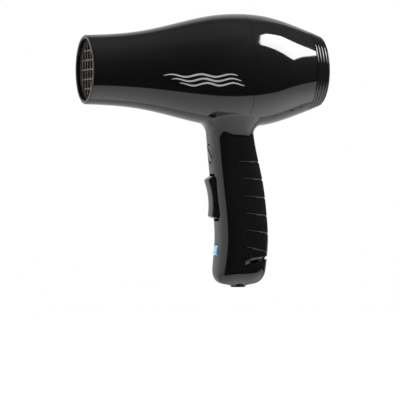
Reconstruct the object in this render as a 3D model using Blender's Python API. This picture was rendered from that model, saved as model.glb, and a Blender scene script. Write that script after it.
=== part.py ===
"""Travel hair dryer with a rocker switch, a cool-shot button, a voltage selector and a pull-off rear filter cap.

The dryer is held as in use: the barrel lies along X with its nozzle at -X, and the handle hangs towards -Z.
The origin is on the floor plane under the middle of the barrel. Every size below is in millimetres, and the
shape builders turn them into metres.
"""

import math

import bmesh
import bpy
import numpy as np
from mathutils import Matrix, Vector

MM = 0.001
GAP = 0.3

# ---------------------------------------------------------------- driving dimensions
AXIS_Z = 152.0
NOZZLE_X = -86.0
REAR_X = 86.0
SEAM_X = 26.8
CAP_X = 74.8
LIP_X = 22.6
WALL = 2.0
BARREL_PROFILE = (
    (NOZZLE_X, 24.0),
    (-66.0, 24.9),
    (-41.0, 28.0),
    (-11.0, 35.0),
    (8.0, 38.7),
    (SEAM_X, 39.8),
    (48.0, 37.3),
    (66.0, 31.7),
    (CAP_X, 28.4),
    (REAR_X, 23.6),
)
BARREL_SIDES = 40

HANDLE_CENTRE = (
    (0.0, 25.1), (12.0, 26.0), (33.0, 27.8), (50.0, 27.1), (75.0, 24.3), (100.0, 20.5), (130.0, 17.7)
)
HANDLE_HALF_DEPTH = ((0.0, 18.1), (12.0, 18.2), (50.0, 18.0), (75.0, 17.7), (100.0, 16.1), (130.0, 15.9))
HANDLE_HALF_WIDTH = ((0.0, 13.6), (50.0, 13.9), (100.0, 13.4), (130.0, 13.4))
HANDLE_SQUARENESS = 2.8
HANDLE_SIDES = 28
DOME_TOP_Z = 13.5
DOME_BOTTOM_Z = 0.8
NECK_FILLET = 6.0
NECK_Z = 112.5
NECK_ROOT = 7.0
TONGUE_FRONT = 20.6
TONGUE_REAR = 18.8
TONGUE_TOP_Z = 137.0

GRIP_TOP_Z = 103.5
GRIP_BOTTOM_Z = 16.5
GROOVE_COUNT = 6
GROOVE_TOP_Z = 87.5
GROOVE_PITCH = 12.0
GROOVE_DEPTH = 0.8

ROCKER_Z = 63.0
ROCKER_HALF_WIDTH = 5.6
ROCKER_PIVOT_DEPTH = 5.4
ROCKER_RADIUS = 16.2
ROCKER_END = 52.0
ROCKER_WAIST = 2.9
DIAL_Z = 93.6
DIAL_RADIUS = 6.6
COOL_Z = 26.0

CORD_X = 25.2
CORD_BORE_RADIUS = 3.4
CLAMP_Z = 16.8
HANDLE_SCREW_Z = (84.0, 38.0)
DUCT_SCREW_ANGLES = (90.0, 210.0, 330.0)
DUCT_SCREW_RADIUS = 34.6
DUCT_RADIUS = 31.5
MOTOR_RADIUS = 12.0

# ---------------------------------------------------------------- materials
MATERIALS = {
    "gloss_black": ((0.012, 0.012, 0.013), 0.08, 0.0),
    "black_plastic": ((0.02, 0.02, 0.02), 0.35, 0.0),
    "black_rubber": ((0.015, 0.015, 0.015), 0.7, 0.0),
    "blue_plastic": ((0.35, 0.62, 0.78), 0.2, 0.0),
    "grille_metal": ((0.42, 0.39, 0.34), 0.35, 1.0),
    "steel": ((0.6, 0.6, 0.6), 0.3, 1.0),
    "brass": ((0.75, 0.58, 0.28), 0.35, 1.0),
    "copper": ((0.72, 0.36, 0.2), 0.35, 1.0),
    "nichrome": ((0.5, 0.45, 0.4), 0.4, 1.0),
    "mica": ((0.55, 0.47, 0.33), 0.5, 0.0),
    "grey_plastic": ((0.4, 0.41, 0.42), 0.5, 0.0),
    "magnet": ((0.08, 0.08, 0.085), 0.6, 0.0),
    "board": ((0.3, 0.24, 0.1), 0.5, 0.0),
    "wire_red": ((0.5, 0.05, 0.04), 0.45, 0.0),
    "wire_white": ((0.8, 0.8, 0.78), 0.45, 0.0),
}


def material(name):
    """The named material, made once."""
    found = bpy.data.materials.get(name)
    if found:
        return found
    colour, roughness, metallic = MATERIALS[name]
    made = bpy.data.materials.new(name)
    made.use_nodes = True
    shader = made.node_tree.nodes["Principled BSDF"]
    shader.inputs["Base Color"].default_value = (*colour, 1.0)
    shader.inputs["Roughness"].default_value = roughness
    shader.inputs["Metallic"].default_value = metallic
    return made


# ---------------------------------------------------------------- curves
def curve_through(points):
    """A smooth function through (position, value) pairs, held at its end values beyond them."""
    xs, ys = np.array(sorted(points), float).T
    slopes = np.gradient(ys, xs)

    def at(x):
        x = min(max(x, xs[0]), xs[-1])
        i = min(max(int(np.searchsorted(xs, x)) - 1, 0), len(xs) - 2)
        h = xs[i + 1] - xs[i]
        t = (x - xs[i]) / h
        rise = ys[i] * (2 * t**3 - 3 * t**2 + 1) + ys[i + 1] * (3 * t**2 - 2 * t**3)
        turn = slopes[i] * (t**3 - 2 * t**2 + t) + slopes[i + 1] * (t**3 - t**2)
        return float(rise + h * turn)

    return at


barrel_radius = curve_through(BARREL_PROFILE)
handle_centre = curve_through(HANDLE_CENTRE)
handle_half_depth = curve_through(HANDLE_HALF_DEPTH)
handle_half_width = curve_through(HANDLE_HALF_WIDTH)


def span(start, end, count):
    return [start + (end - start) * i / (count - 1) for i in range(count)]


# ---------------------------------------------------------------- shape builders
def add_object(name, mesh, slot, matrix=None):
    """Puts a mesh in the scene as one named part, smooth except at its sharp edges."""
    obj = bpy.data.objects.new(name, mesh)
    bpy.context.scene.collection.objects.link(obj)
    obj.data.materials.append(material(slot))
    if matrix is not None:
        obj.matrix_world = matrix
    mesh.shade_smooth()
    mesh.set_sharp_from_angle(angle=math.radians(35))
    return obj


def build(name, points, faces, slot, matrix=None):
    """A closed solid from points in millimetres and faces, with its faces turned outwards."""
    bm = bmesh.new()
    verts = [bm.verts.new(Vector(p) * MM) for p in points]
    for face in faces:
        bm.faces.new([verts[i] for i in face])
    bmesh.ops.recalc_face_normals(bm, faces=bm.faces)
    mesh = bpy.data.meshes.new(name)
    bm.to_mesh(mesh)
    bm.free()
    return add_object(name, mesh, slot, matrix)


def loft(name, rings, slot, matrix=None, wrap=False):
    """Joins rings of equal length; the ends are filled, or meet each other when wrap is set."""
    n = len(rings[0])
    points = [p for ring in rings for p in ring]
    rows = len(rings) if wrap else len(rings) - 1
    faces = []
    for r in range(rows):
        low, high = r * n, (r + 1) % len(rings) * n
        faces += [(low + i, low + (i + 1) % n, high + (i + 1) % n, high + i) for i in range(n)]
    if not wrap:
        faces += [tuple(range(n)), tuple(range(len(points) - n, len(points)))]
    return build(name, points, faces, slot, matrix)


def revolve(name, outline, slot, sides=32, matrix=None, centre=(0.0, AXIS_Z)):
    """Turns a closed outline of (x, radius) about the barrel's axis, or about local X when centre is (0, 0)."""
    rings = []
    for k in range(sides):
        angle = 2 * math.pi * k / sides
        y, z = math.sin(angle), math.cos(angle)
        rings.append([(x, centre[0] + r * y, centre[1] + r * z) for x, r in outline])
    return loft(name, rings, slot, matrix, wrap=True)


def turned(name, outline, slot, sides=16, matrix=None, centre=(0.0, 0.0)):
    """A solid of revolution about X with no bore: outline runs from one end to the other, off the axis."""
    rings = []
    for x, r in outline:
        angles = [2 * math.pi * k / sides for k in range(sides)]
        rings.append([(x, centre[0] + r * math.sin(a), centre[1] + r * math.cos(a)) for a in angles])
    return loft(name, rings, slot, matrix)


def on_barrel(name, outline, slot, sides=24):
    """A boreless turned solid on the barrel's axis."""
    return turned(name, outline, slot, sides, centre=(0.0, AXIS_Z))


def prism(name, outline, low, high, slot, axis="Y", matrix=None):
    """Extrudes a flat outline along one axis; outline points are the other two coordinates in X, Y, Z order."""
    place = {
        "X": lambda a, b, c: (c, a, b), "Y": lambda a, b, c: (a, c, b), "Z": lambda a, b, c: (a, b, c)
    }[axis]
    rings = [[place(a, b, c) for a, b in outline] for c in (low, high)]
    return loft(name, rings, slot, matrix)


def box(name, low, high, slot, matrix=None):
    (x0, y0, z0), (x1, y1, z1) = low, high
    return prism(name, [(x0, z0), (x1, z0), (x1, z1), (x0, z1)], y0, y1, slot, "Y", matrix)


def helper(obj):
    """Marks an object as a cutter or a guide, which isn't part of the dryer."""
    obj.hide_render = True
    obj.display_type = "WIRE"
    return obj


def combine(obj, operation, *others):
    """Adds one exact Boolean for each of the others, which become helpers."""
    for other in others:
        modifier = obj.modifiers.new(other.name, "BOOLEAN")
        modifier.operation = operation
        modifier.solver = "EXACT"
        modifier.object = helper(other)
    return obj


def pivot_at(obj, frame):
    """Moves a moving part's origin onto its joint's axis and leaves its shape where it is."""
    obj.data.transform(frame.inverted() @ obj.matrix_basis)
    obj.matrix_world = frame
    return obj


def rounded_rectangle(half_a, half_b, radius, steps=3):
    """Outline of a rectangle centred on the origin with round corners."""
    points = []
    for k, (sa, sb) in enumerate(((1, 1), (-1, 1), (-1, -1), (1, -1))):
        for s in range(steps + 1):
            angle = math.radians(90 * k + 90 * s / steps)
            points.append((
                sa * (half_a - radius) + radius * math.cos(angle),
                sb * (half_b - radius) + radius * math.sin(angle),
            ))
    return points


def tube(name, points, radius, slot, resolution=2):
    """A round wire through points in millimetres."""
    curve = bpy.data.curves.new(name, "CURVE")
    curve.dimensions = "3D"
    curve.bevel_depth = radius * MM
    curve.bevel_resolution = resolution
    curve.use_fill_caps = True
    spline = curve.splines.new("POLY")
    spline.points.add(len(points) - 1)
    for target, point in zip(spline.points, points):
        target.co = (*(Vector(point) * MM), 1.0)
    obj = bpy.data.objects.new(name, curve)
    bpy.context.scene.collection.objects.link(obj)
    curve.materials.append(material(slot))
    return obj


def smooth_route(points, count):
    """Points spread evenly along a smooth curve through the given ones."""
    stations = [0.0]
    for a, b in zip(points, points[1:]):
        stations.append(stations[-1] + (Vector(b) - Vector(a)).length)
    axes = [curve_through(list(zip(stations, values))) for values in zip(*points)]
    return [tuple(axis(s) for axis in axes) for s in span(0.0, stations[-1], count)]


# ---------------------------------------------------------------- handle geometry
def handle_ring(z, inset=0.0, scale=1.0, level=None):
    """One cross-section of the handle at height z: a squared oval."""
    depth = max(handle_half_depth(z) - inset, 0.5) * scale
    width = max(handle_half_width(z) - inset, 0.5) * scale
    power = 2 / HANDLE_SQUARENESS
    ring = []
    for k in range(HANDLE_SIDES):
        c, s = math.cos(2 * math.pi * k / HANDLE_SIDES), math.sin(2 * math.pi * k / HANDLE_SIDES)
        x = handle_centre(z) + depth * math.copysign(abs(c) ** power, c)
        y = width * math.copysign(abs(s) ** power, s)
        ring.append((x, y, z if level is None else level))
    return ring


def neck_ring(inset, drop):
    """One ring of the neck, which keeps the given distance below the barrel's underside all the way round."""
    ring = handle_ring(NECK_Z, inset)
    return [(x, y, AXIS_Z - math.sqrt(barrel_radius(x) ** 2 - y**2) - drop) for x, y, _ in ring]


def handle_solid(name, inset=0.0):
    """The handle from its domed end up into the barrel, flared where it meets the barrel."""
    rings = []
    bottom = DOME_BOTTOM_Z + (2.8 if inset > 0 else inset)
    for turn in (78, 62, 45, 25):
        sink = math.sin(math.radians(turn))
        level = DOME_TOP_Z - (DOME_TOP_Z - bottom) * sink
        rings.append(handle_ring(level, inset, math.cos(math.radians(turn)) ** 0.9))
    rings += [handle_ring(z, inset) for z in (DOME_TOP_Z, 32.0, 50.0, 68.0, 84.0, 98.0)]
    for step in (0.0, 0.55, 0.85, 1.0):
        flare = NECK_FILLET * (1 - math.sqrt(1 - step**2))
        rings.append(neck_ring(inset - flare, NECK_FILLET * (1 - step) - 0.3 * step))
    rings.append(neck_ring(inset - NECK_FILLET, -NECK_ROOT))
    return loft(name, rings, "gloss_black")


def grip_outline(shrink):
    """Side view of the part of the handle that the back half covers."""
    low, high = GRIP_BOTTOM_Z + shrink, GRIP_TOP_Z - shrink
    edge = [(handle_centre(z) + shrink, z) for z in span(low, high, 8)]
    return [*edge, (60.0, high), (60.0, low)]


def front_frame(z):
    """Matrix of a frame on the handle's front: local X points into the handle, local Z up along it."""
    step = 2.0
    front = [handle_centre(h) - handle_half_depth(h) for h in (z - step, z, z + step)]
    lean = math.atan2(front[2] - front[0], 2 * step)
    return Matrix.Translation(Vector((front[1], 0.0, z)) * MM) @ Matrix.Rotation(lean, 4, "Y")


def back_x(z):
    return handle_centre(z) + handle_half_depth(z)


# ---------------------------------------------------------------- housings
def barrel_outline(start, end, count, inset=0.0):
    return [(x, barrel_radius(x) - inset) for x in span(start, end, count)]


def barrel_solid(name, start, end, count, inset=0.0):
    return on_barrel(name, barrel_outline(start, end, count, inset), "gloss_black", BARREL_SIDES)


def front_housing():
    rim = [(NOZZLE_X, 23.2), (NOZZLE_X + 0.25, 23.8)]
    outline = rim + barrel_outline(NOZZLE_X + 1.0, SEAM_X, 10) + barrel_outline(
        SEAM_X + 6.0, CAP_X - GAP, 5
    )
    shell = on_barrel("front_housing", outline, "gloss_black", BARREL_SIDES)
    combine(shell, "UNION", handle_solid("handle_outside"))
    mouth = on_barrel(
        "mouth_cutter", [(NOZZLE_X - 2, 22.0), (NOZZLE_X + 6, 22.0)], "gloss_black", BARREL_SIDES
    )
    inside = barrel_solid("barrel_inside", NOZZLE_X + 5, 80.0, 14, WALL)
    combine(shell, "DIFFERENCE", mouth, inside, handle_solid("handle_inside", WALL))
    over = box("rear_opening", (SEAM_X, -60, TONGUE_TOP_Z), (90, 60, 200), "gloss_black")
    combine(shell, "DIFFERENCE", over)
    for side in (-1, 1):
        beside = [
            (SEAM_X, side * TONGUE_FRONT), (90, side * TONGUE_REAR), (90, side * 60), (SEAM_X, side * 60)
        ]
        combine(
            shell, "DIFFERENCE", prism(f"beside_tongue_{side + 1}", beside, 105, 140, "gloss_black", "Z")
        )
    combine(shell, "DIFFERENCE", prism("grip_cutter", grip_outline(0.0), -30, 30, "gloss_black"))
    for k, z in enumerate(HANDLE_SCREW_Z):
        x = handle_centre(z)
        reach = handle_half_width(z) - 1.0
        web = box(f"screw_web_{k}", (x - 7, 0, z - 1.2), (x - 1, reach, z + 1.2), "gloss_black")
        boss = turned(f"screw_boss_{k}", [(x - 8, 2.4), (x - 0.4, 2.4)], "gloss_black", 16, centre=(0, z))
        pilot = turned(f"screw_pilot_{k}", [(x - 7, 1.3), (x + 2, 1.3)], "gloss_black", 12, centre=(0, z))
        combine(shell, "UNION", web, boss)
        combine(shell, "DIFFERENCE", pilot)
    for k, side in enumerate((-1, 1)):
        z = CLAMP_Z
        x = handle_centre(z) - handle_half_depth(z)
        post = turned(
            f"clamp_post_{k}", [(x + 2.8, 2.1), (29.2, 2.1)], "gloss_black", 12, centre=(side * 6.6, z)
        )
        pilot = turned(
            f"clamp_pilot_{k}", [(21, 1.2), (31, 1.2)], "gloss_black", 10, centre=(side * 6.6, z)
        )
        combine(shell, "UNION", post)
        combine(shell, "DIFFERENCE", pilot)
    for k, angle in enumerate(DUCT_SCREW_ANGLES):
        turn = duct_turn(angle)
        post = box(f"duct_post_{k}", (7, -3, 32.2), (16, 3, 37.7), "gloss_black", turn)
        pilot = turned(
            f"duct_pilot_{k}", [(7, 1.2), (18, 1.2)], "gloss_black", 10, turn, (0, DUCT_SCREW_RADIUS)
        )
        combine(shell, "UNION", post)
        combine(shell, "DIFFERENCE", pilot)
    window = prism(
        "rocker_window", rounded_rectangle(6.0, 16.6, 0.8), -8, 4, "gloss_black", "X",
        front_frame(ROCKER_Z),
    )
    eye = turned(
        "dial_hole", [(-5, DIAL_RADIUS + 0.4), (5, DIAL_RADIUS + 0.4)], "gloss_black", 24,
        front_frame(DIAL_Z),
    )
    slot = prism(
        "cool_window", rounded_rectangle(4.6, 4.3, 0.6), -4, 5, "gloss_black", "X", front_frame(COOL_Z)
    )
    seat = vertical("gland_seat", [(-2, 5.3), (2.4, 5.3)], CORD_X, 20)
    hole = vertical("gland_hole", [(1, 4.3), (7, 4.3)], CORD_X, 20)
    return combine(shell, "DIFFERENCE", window, eye, slot, seat, hole)


def vertical(name, outline, x, sides, slot="gloss_black"):
    """A turned solid standing at (x, 0), its outline given as (height, radius)."""
    stand = Matrix.Translation(Vector((x, 0, 0)) * MM) @ Matrix.Rotation(math.radians(-90), 4, "Y")
    return turned(name, outline, slot, sides, stand)


def duct_turn(angle):
    """Frame on the barrel's axis whose local Z points out at the given angle from straight up."""
    return Matrix.Translation(Vector((0, 0, AXIS_Z)) * MM) @ Matrix.Rotation(math.radians(angle), 4, "X")


def rear_housing():
    lip = barrel_radius(LIP_X) - WALL - 2 * GAP
    outline = [(LIP_X, lip), (SEAM_X + GAP, lip), *barrel_outline(SEAM_X + GAP, CAP_X - GAP, 8)]
    inner = barrel_outline(CAP_X - GAP, SEAM_X + 3.5, 6, WALL)
    shell = revolve("rear_housing", [*outline, *inner, (LIP_X, lip - 1.2)], "gloss_black", BARREL_SIDES)
    front, back = TONGUE_FRONT + GAP, TONGUE_REAR + GAP
    under = [
        (SEAM_X - 10, -front), (SEAM_X, -front), (90, -back), (90, back), (SEAM_X, front),
        (SEAM_X - 10, front),
    ]
    tongue = prism("tongue_clearance", under, 90, TONGUE_TOP_Z + GAP, "gloss_black", "Z")
    return combine(shell, "DIFFERENCE", handle_solid("neck_clearance", -2 * GAP), tongue)


def handle_back():
    shell = prism("handle_back", grip_outline(GAP), -30, 30, "gloss_black")
    combine(shell, "INTERSECT", handle_solid("grip_outside"))
    combine(shell, "DIFFERENCE", handle_solid("grip_inside", WALL))
    for k, z in enumerate(HANDLE_SCREW_Z):
        x = handle_centre(z)
        pillar = turned(
            f"grip_pillar_{k}", [(x + 0.4, 3.6), (back_x(z) - 1, 3.6)], "gloss_black", 16, centre=(0, z)
        )
        recess = turned(
            f"grip_recess_{k}", [(x + 2.4, 2.7), (back_x(z) + 3, 2.7)], "gloss_black", 16, centre=(0, z)
        )
        through = turned(
            f"grip_through_{k}", [(x - 2, 1.3), (x + 4, 1.3)], "gloss_black", 12, centre=(0, z)
        )
        combine(shell, "UNION", pillar)
        combine(shell, "DIFFERENCE", recess, through)
    for k in range(GROOVE_COUNT):
        z = GROOVE_TOP_Z - k * GROOVE_PITCH
        combine(shell, "DIFFERENCE", groove_cutter(f"groove_{k}", z))
    return shell


def groove_cutter(name, z):
    """A thin band round the back of the handle that leaves a finger groove of GROOVE_DEPTH."""
    half = 0.55
    outer = [handle_ring(z, -2.0, level=z + side * half) for side in (-1, 1)]
    inner = [handle_ring(z, GROOVE_DEPTH, level=z + side * half) for side in (1, -1)]
    keep = [k for k in range(HANDLE_SIDES) if math.cos(2 * math.pi * k / HANDLE_SIDES) > 0.05]
    order = sorted(keep, key=lambda k: math.sin(2 * math.pi * k / HANDLE_SIDES))
    rings = [[ring[k] for ring in (outer[0], outer[1], inner[0], inner[1])] for k in order]
    return loft(name, rings, "gloss_black")


def rear_cap():
    ridges = []
    start = CAP_X + GAP
    pitch = (REAR_X - 1.0 - start) / 4
    for k in range(4):
        x = start + k * pitch
        ridges += [(x, barrel_radius(x) - 0.6), (x + 0.7, barrel_radius(x + 0.7))]
    outline = [(69.0, 25.7), (start, 25.7), *ridges, (REAR_X - 0.7, 23.7), (REAR_X, 23.0), (REAR_X, 21.2)]
    outline += [(84.0, 21.2), (84.0, 22.2), (79.5, 22.2), (79.5, 23.6), (69.0, 24.4)]
    ring = revolve("cap_ring", outline, "gloss_black", BARREL_SIDES)
    grille = polar_grille("inlet_grille", 82.0, 83.7, 21.9, "black_plastic")
    screen = on_barrel("filter_screen", [(80.6, 21.9), (81.2, 21.9)], "grille_metal", 28)
    for piece in (ring, grille, screen):
        pivot_at(piece, Matrix.Translation(Vector((CAP_X, 0, AXIS_Z)) * MM))


def polar_grille(name, low, high, radius, slot):
    """A flat ring grille: concentric bars joined by spokes, as one closed solid."""
    sides = 36
    bars = 4
    bar = 1.3
    gap = (radius - 3.6 - bars * bar) / bars
    edges = [3.6]
    for _ in range(bars):
        edges += [edges[-1] + gap, edges[-1] + gap + bar]
    spoke = {k for k in range(sides) if k % 6 == 0}
    solid = set()
    for ring in range(len(edges) - 1):
        for k in range(sides):
            if ring % 2 or k in spoke:
                solid.add((ring, k))
    points, index = [], {}

    def vert(ring, k, x):
        key = (ring, k % sides, x)
        if key not in index:
            angle = 2 * math.pi * (k % sides) / sides
            r = edges[ring]
            index[key] = len(points)
            points.append((x, r * math.sin(angle), AXIS_Z + r * math.cos(angle)))
        return index[key]

    faces = [tuple(vert(0, k, x) for k in range(sides)) for x in (low, high)]
    for ring, k in sorted(solid):
        corners = [(ring, k), (ring + 1, k), (ring + 1, k + 1), (ring, k + 1)]
        faces += [tuple(vert(r, j, x) for r, j in corners) for x in (low, high)]
    for ring in range(len(edges) - 1):
        for k in range(sides):
            here = (ring, k) in solid
            inward = ring == 0 or (ring - 1, k) in solid
            if here != inward:
                faces.append(
                    (vert(ring, k, low), vert(ring, k + 1, low), vert(ring, k + 1, high), vert(ring, k, high))
                )
            if here != ((ring, (k - 1) % sides) in solid):
                faces.append(
                    (vert(ring, k, low), vert(ring + 1, k, low), vert(ring + 1, k, high), vert(ring, k, high))
                )
    last = len(edges) - 1
    for k in range(sides):
        faces.append(
            (vert(last, k, low), vert(last, k + 1, low), vert(last, k + 1, high), vert(last, k, high))
        )
    return build(name, points, faces, slot)


# ---------------------------------------------------------------- outlet and heater
def outlet():
    low, high = NOZZLE_X + 2.2, NOZZLE_X + 4.6
    revolve("grille_frame", [(low, 21.6), (high, 21.6), (high, 17.2), (low, 17.2)], "black_plastic", 40)
    rim = revolve(
        "outlet_grille", [(low + 0.3, 16.9), (high - 0.5, 16.9), (high - 0.5, 15.9), (low + 0.3, 15.9)],
        "grille_metal", 40,
    )
    bars = lattice("grille_bars", low + 0.5, high - 0.8, 18.5, 6.6, 0.9)
    combine(bars, "INTERSECT", on_barrel("grille_disc", [(low, 16.4), (high, 16.4)], "grille_metal", 40))
    combine(rim, "UNION", bars)
    revolve(
        "heat_shield", [(high + GAP, 20.4), (-12.0, 20.4), (-12.0, 19.7), (high + GAP, 19.7)], "mica", 32
    )


def lattice(name, low, high, reach, pitch, bar):
    """A square lattice of bars that all end at the given distance from the middle, as one closed solid."""
    lines = [k * pitch for k in range(-2, 3)]
    points, faces = [], []
    stops = sorted([line + side * bar / 2 for line in lines for side in (-1, 1)])
    index = {}

    def vert(y, z, x):
        key = (round(y, 5), round(z, 5), x)
        if key not in index:
            index[key] = len(points)
            points.append((x, y, AXIS_Z + z))
        return index[key]

    def cap(y0, y1, z0, z1):
        for x in (low, high):
            faces.append((vert(y0, z0, x), vert(y1, z0, x), vert(y1, z1, x), vert(y0, z1, x)))

    def wall(a, b):
        faces.append((vert(*a, low), vert(*b, low), vert(*b, high), vert(*a, high)))

    cells = len(stops) - 1
    for i in range(cells):
        for j in range(cells):
            y0, y1, z0, z1 = stops[i], stops[i + 1], stops[j], stops[j + 1]
            if i % 2 == 0 or j % 2 == 0:
                cap(y0, y1, z0, z1)
            else:
                wall((y0, z0), (y1, z0))
                wall((y0, z1), (y1, z1))
                wall((y0, z0), (y0, z1))
                wall((y1, z0), (y1, z1))
    edge = stops[-1]
    for turn in range(4):
        c, s = round(math.cos(turn * math.pi / 2)), round(math.sin(turn * math.pi / 2))

        def at(a, b):
            return (c * a - s * b, s * a + c * b)

        for i in range(cells):
            a0, a1 = stops[i], stops[i + 1]
            if i % 2:
                wall(at(a0, edge), at(a1, edge))
                continue
            corners = [at(a0, edge), at(a1, edge), at(a1, reach), at(a0, reach)]
            for x in (low, high):
                faces.append(tuple(vert(*p, x) for p in corners))
            wall(corners[1], corners[2])
            wall(corners[2], corners[3])
            wall(corners[3], corners[0])
    return build(name, points, faces, "grille_metal")


MICA_FRONT, MICA_REAR, MICA_HALF, MICA_THICK = -78.0, -20.0, 17.6, 0.8
COIL_TURNS = 9
COIL_FRONT, COIL_PITCH = -74.0, 5.0
NOTCH_DEPTH = 2.4


def mica_outline(slot_from_front):
    """Side view of one heater board with notches for the coil and a slot for its crossing board."""
    half_slot = MICA_THICK / 2 + GAP
    middle = (MICA_FRONT + MICA_REAR) / 2
    top = [(MICA_FRONT, MICA_HALF)]
    for k in range(COIL_TURNS):
        x = COIL_FRONT + k * COIL_PITCH
        top += [(x - 0.9, MICA_HALF), (x - 0.9, MICA_HALF - NOTCH_DEPTH)]
        top += [(x + 0.9, MICA_HALF - NOTCH_DEPTH), (x + 0.9, MICA_HALF)]
    top.append((MICA_REAR, MICA_HALF))
    bottom = [(x, -h) for x, h in reversed(top)]
    if slot_from_front:
        cut = [
            (MICA_FRONT, -half_slot), (middle + GAP, -half_slot), (middle + GAP, half_slot),
            (MICA_FRONT, half_slot),
        ]
        return [*top, *bottom, *cut]
    cut = [
        (MICA_REAR, half_slot), (middle - GAP, half_slot), (middle - GAP, -half_slot),
        (MICA_REAR, -half_slot),
    ]
    return [*top, *cut, *bottom]


def heater():
    half = MICA_THICK / 2
    upright = [(x, AXIS_Z + h) for x, h in mica_outline(True)]
    prism("mica_board_upright", upright, -half, half, "mica", "Y")
    prism("mica_board_flat", mica_outline(False), AXIS_Z - half, AXIS_Z + half, "mica", "Z")
    reach = MICA_HALF - NOTCH_DEPTH / 2 + 0.3
    wire = []
    for k in range(COIL_TURNS * 4 - 3):
        x = COIL_FRONT + (k // 4) * COIL_PITCH
        angle = math.radians(90 * (k % 4))
        wire.append((x, reach * math.sin(angle), AXIS_Z + reach * math.cos(angle)))
    tube("heater_coil", wire, 0.5, "nichrome", 1)
    box("thermostat_base", (-36, 0.8, 155.5), (-25, 2.8, 162.5), "grey_plastic")
    box("thermostat_blade", (-38, 3.2, 157.5), (-23.5, 3.6, 160.5), "brass")
    fuse = [(-40, 0.5), (-37, 0.5), (-37, 1.5), (-28, 1.5), (-28, 0.5), (-25, 0.5)]
    turned("thermal_fuse", fuse, "steel", 12, centre=(-2.3, 145.0))


# ---------------------------------------------------------------- motor and fan
def fan_duct():
    outline = [(-16.0, 21.9), (-5.0, DUCT_RADIUS), (34.0, DUCT_RADIUS), (34.0, 30.2)]
    outline += [(-4.4, 30.2), (-15.0, 20.8), (-16.0, 20.8)]
    shell = revolve("fan_duct", outline, "black_plastic", 32)
    cup = [(-2.0, 14.0), (21.0, 14.0), (21.0, 12.4), (-2.0, 12.4)]
    combine(shell, "UNION", revolve("motor_cup", cup, "black_plastic", 24))
    for k in range(5):
        turn = duct_turn(72 * k + 36)
        vane = prism(
            f"stator_vane_{k}", [(1, -4.0), (2.4, -4.0), (19.4, 3.0), (18, 3.0)], 13.4, 30.8,
            "black_plastic", "Z", turn,
        )
        combine(shell, "UNION", vane)
    for k, angle in enumerate(DUCT_SCREW_ANGLES):
        turn = duct_turn(angle)
        ear = box(f"duct_ear_{k}", (16.4, -3, 30.8), (18.6, 3, 36.6), "black_plastic", turn)
        hole = turned(
            f"ear_hole_{k}", [(14, 1.3), (21, 1.3)], "black_plastic", 10, turn, (0, DUCT_SCREW_RADIUS)
        )
        combine(shell, "UNION", ear)
        combine(shell, "DIFFERENCE", hole)
        screw(
            f"duct_screw_{k + 1}", turn @ Matrix.Translation(Vector((18.9, 0, DUCT_SCREW_RADIUS)) * MM),
            0.9, 1.8, 9.5,
        )
    doorway = box("wire_doorway", (-13, -11.0, -33), (-3, 11.0, -18), "black_plastic", duct_turn(0))
    return combine(shell, "DIFFERENCE", doorway)


def screw(name, frame, shaft, head, length):
    """A pan-head screw whose head stands on the frame's origin and whose shaft runs along local -X."""
    outline = [
        (-length, shaft * 0.5), (-length + 1.2, shaft), (0, shaft), (0, head), (1.0, head),
        (1.5, head * 0.75),
    ]
    body = turned(name, outline, "steel", 12, frame)
    slot = box(name + "_slot", (0.9, -head * 1.1, -0.3), (2.0, head * 1.1, 0.3), "steel", frame)
    return combine(body, "DIFFERENCE", slot)


def motor():
    can = [
        (-3.0, MOTOR_RADIUS), (20.5, MOTOR_RADIUS), (22.0, 10.5), (22.0, 3.6), (20.8, 3.6), (20.8, 11.2),
        (-3.0, 11.2),
    ]
    revolve("motor_can", can, "steel", 24)
    bell = [(-7.0, 9.0), (-5.6, 11.6), (-3.3, 11.6), (-3.3, 3.6), (-7.0, 3.6)]
    revolve("motor_end_bell", bell, "black_plastic", 24)
    for name, x in (("bearing_front", -6.8), ("bearing_rear", 20.2)):
        revolve(name, [(x, 3.3), (x + 2.6, 3.3), (x + 2.6, 1.3), (x, 1.3)], "brass", 16)
    for name, side in (("magnet_upper", 1), ("magnet_lower", -1)):
        arc = [math.radians(a) for a in range(-56, 57, 14)]
        outline = [(10.9 * math.sin(a), AXIS_Z + side * 10.9 * math.cos(a)) for a in arc]
        outline += [(8.4 * math.sin(a), AXIS_Z + side * 8.4 * math.cos(a)) for a in reversed(arc)]
        prism(name, outline, 1.0, 17.5, "magnet", "X")
    pivot_at(on_barrel("motor_shaft", [(-8.0, 1.0), (38.0, 1.0)], "steel", 12), duct_turn(0))
    armature()
    ring = revolve("commutator", [(-2.6, 3.4), (1.6, 3.4), (1.6, 1.3), (-2.6, 1.3)], "copper", 12)
    pivot_at(ring, duct_turn(0))
    board = [(-11.5, 9.8), (-10.2, 9.8), (-10.2, 2.0), (-11.5, 2.0)]
    revolve("rectifier_board", board, "board", 24)
    for k in range(4):
        angle = math.radians(90 * k + 45)
        centre = (6.0 * math.sin(angle), AXIS_Z + 6.0 * math.cos(angle))
        turned(f"diode_{k + 1}", [(-9.9, 1.3), (-7.4, 1.3)], "black_plastic", 10, centre=centre)


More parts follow.
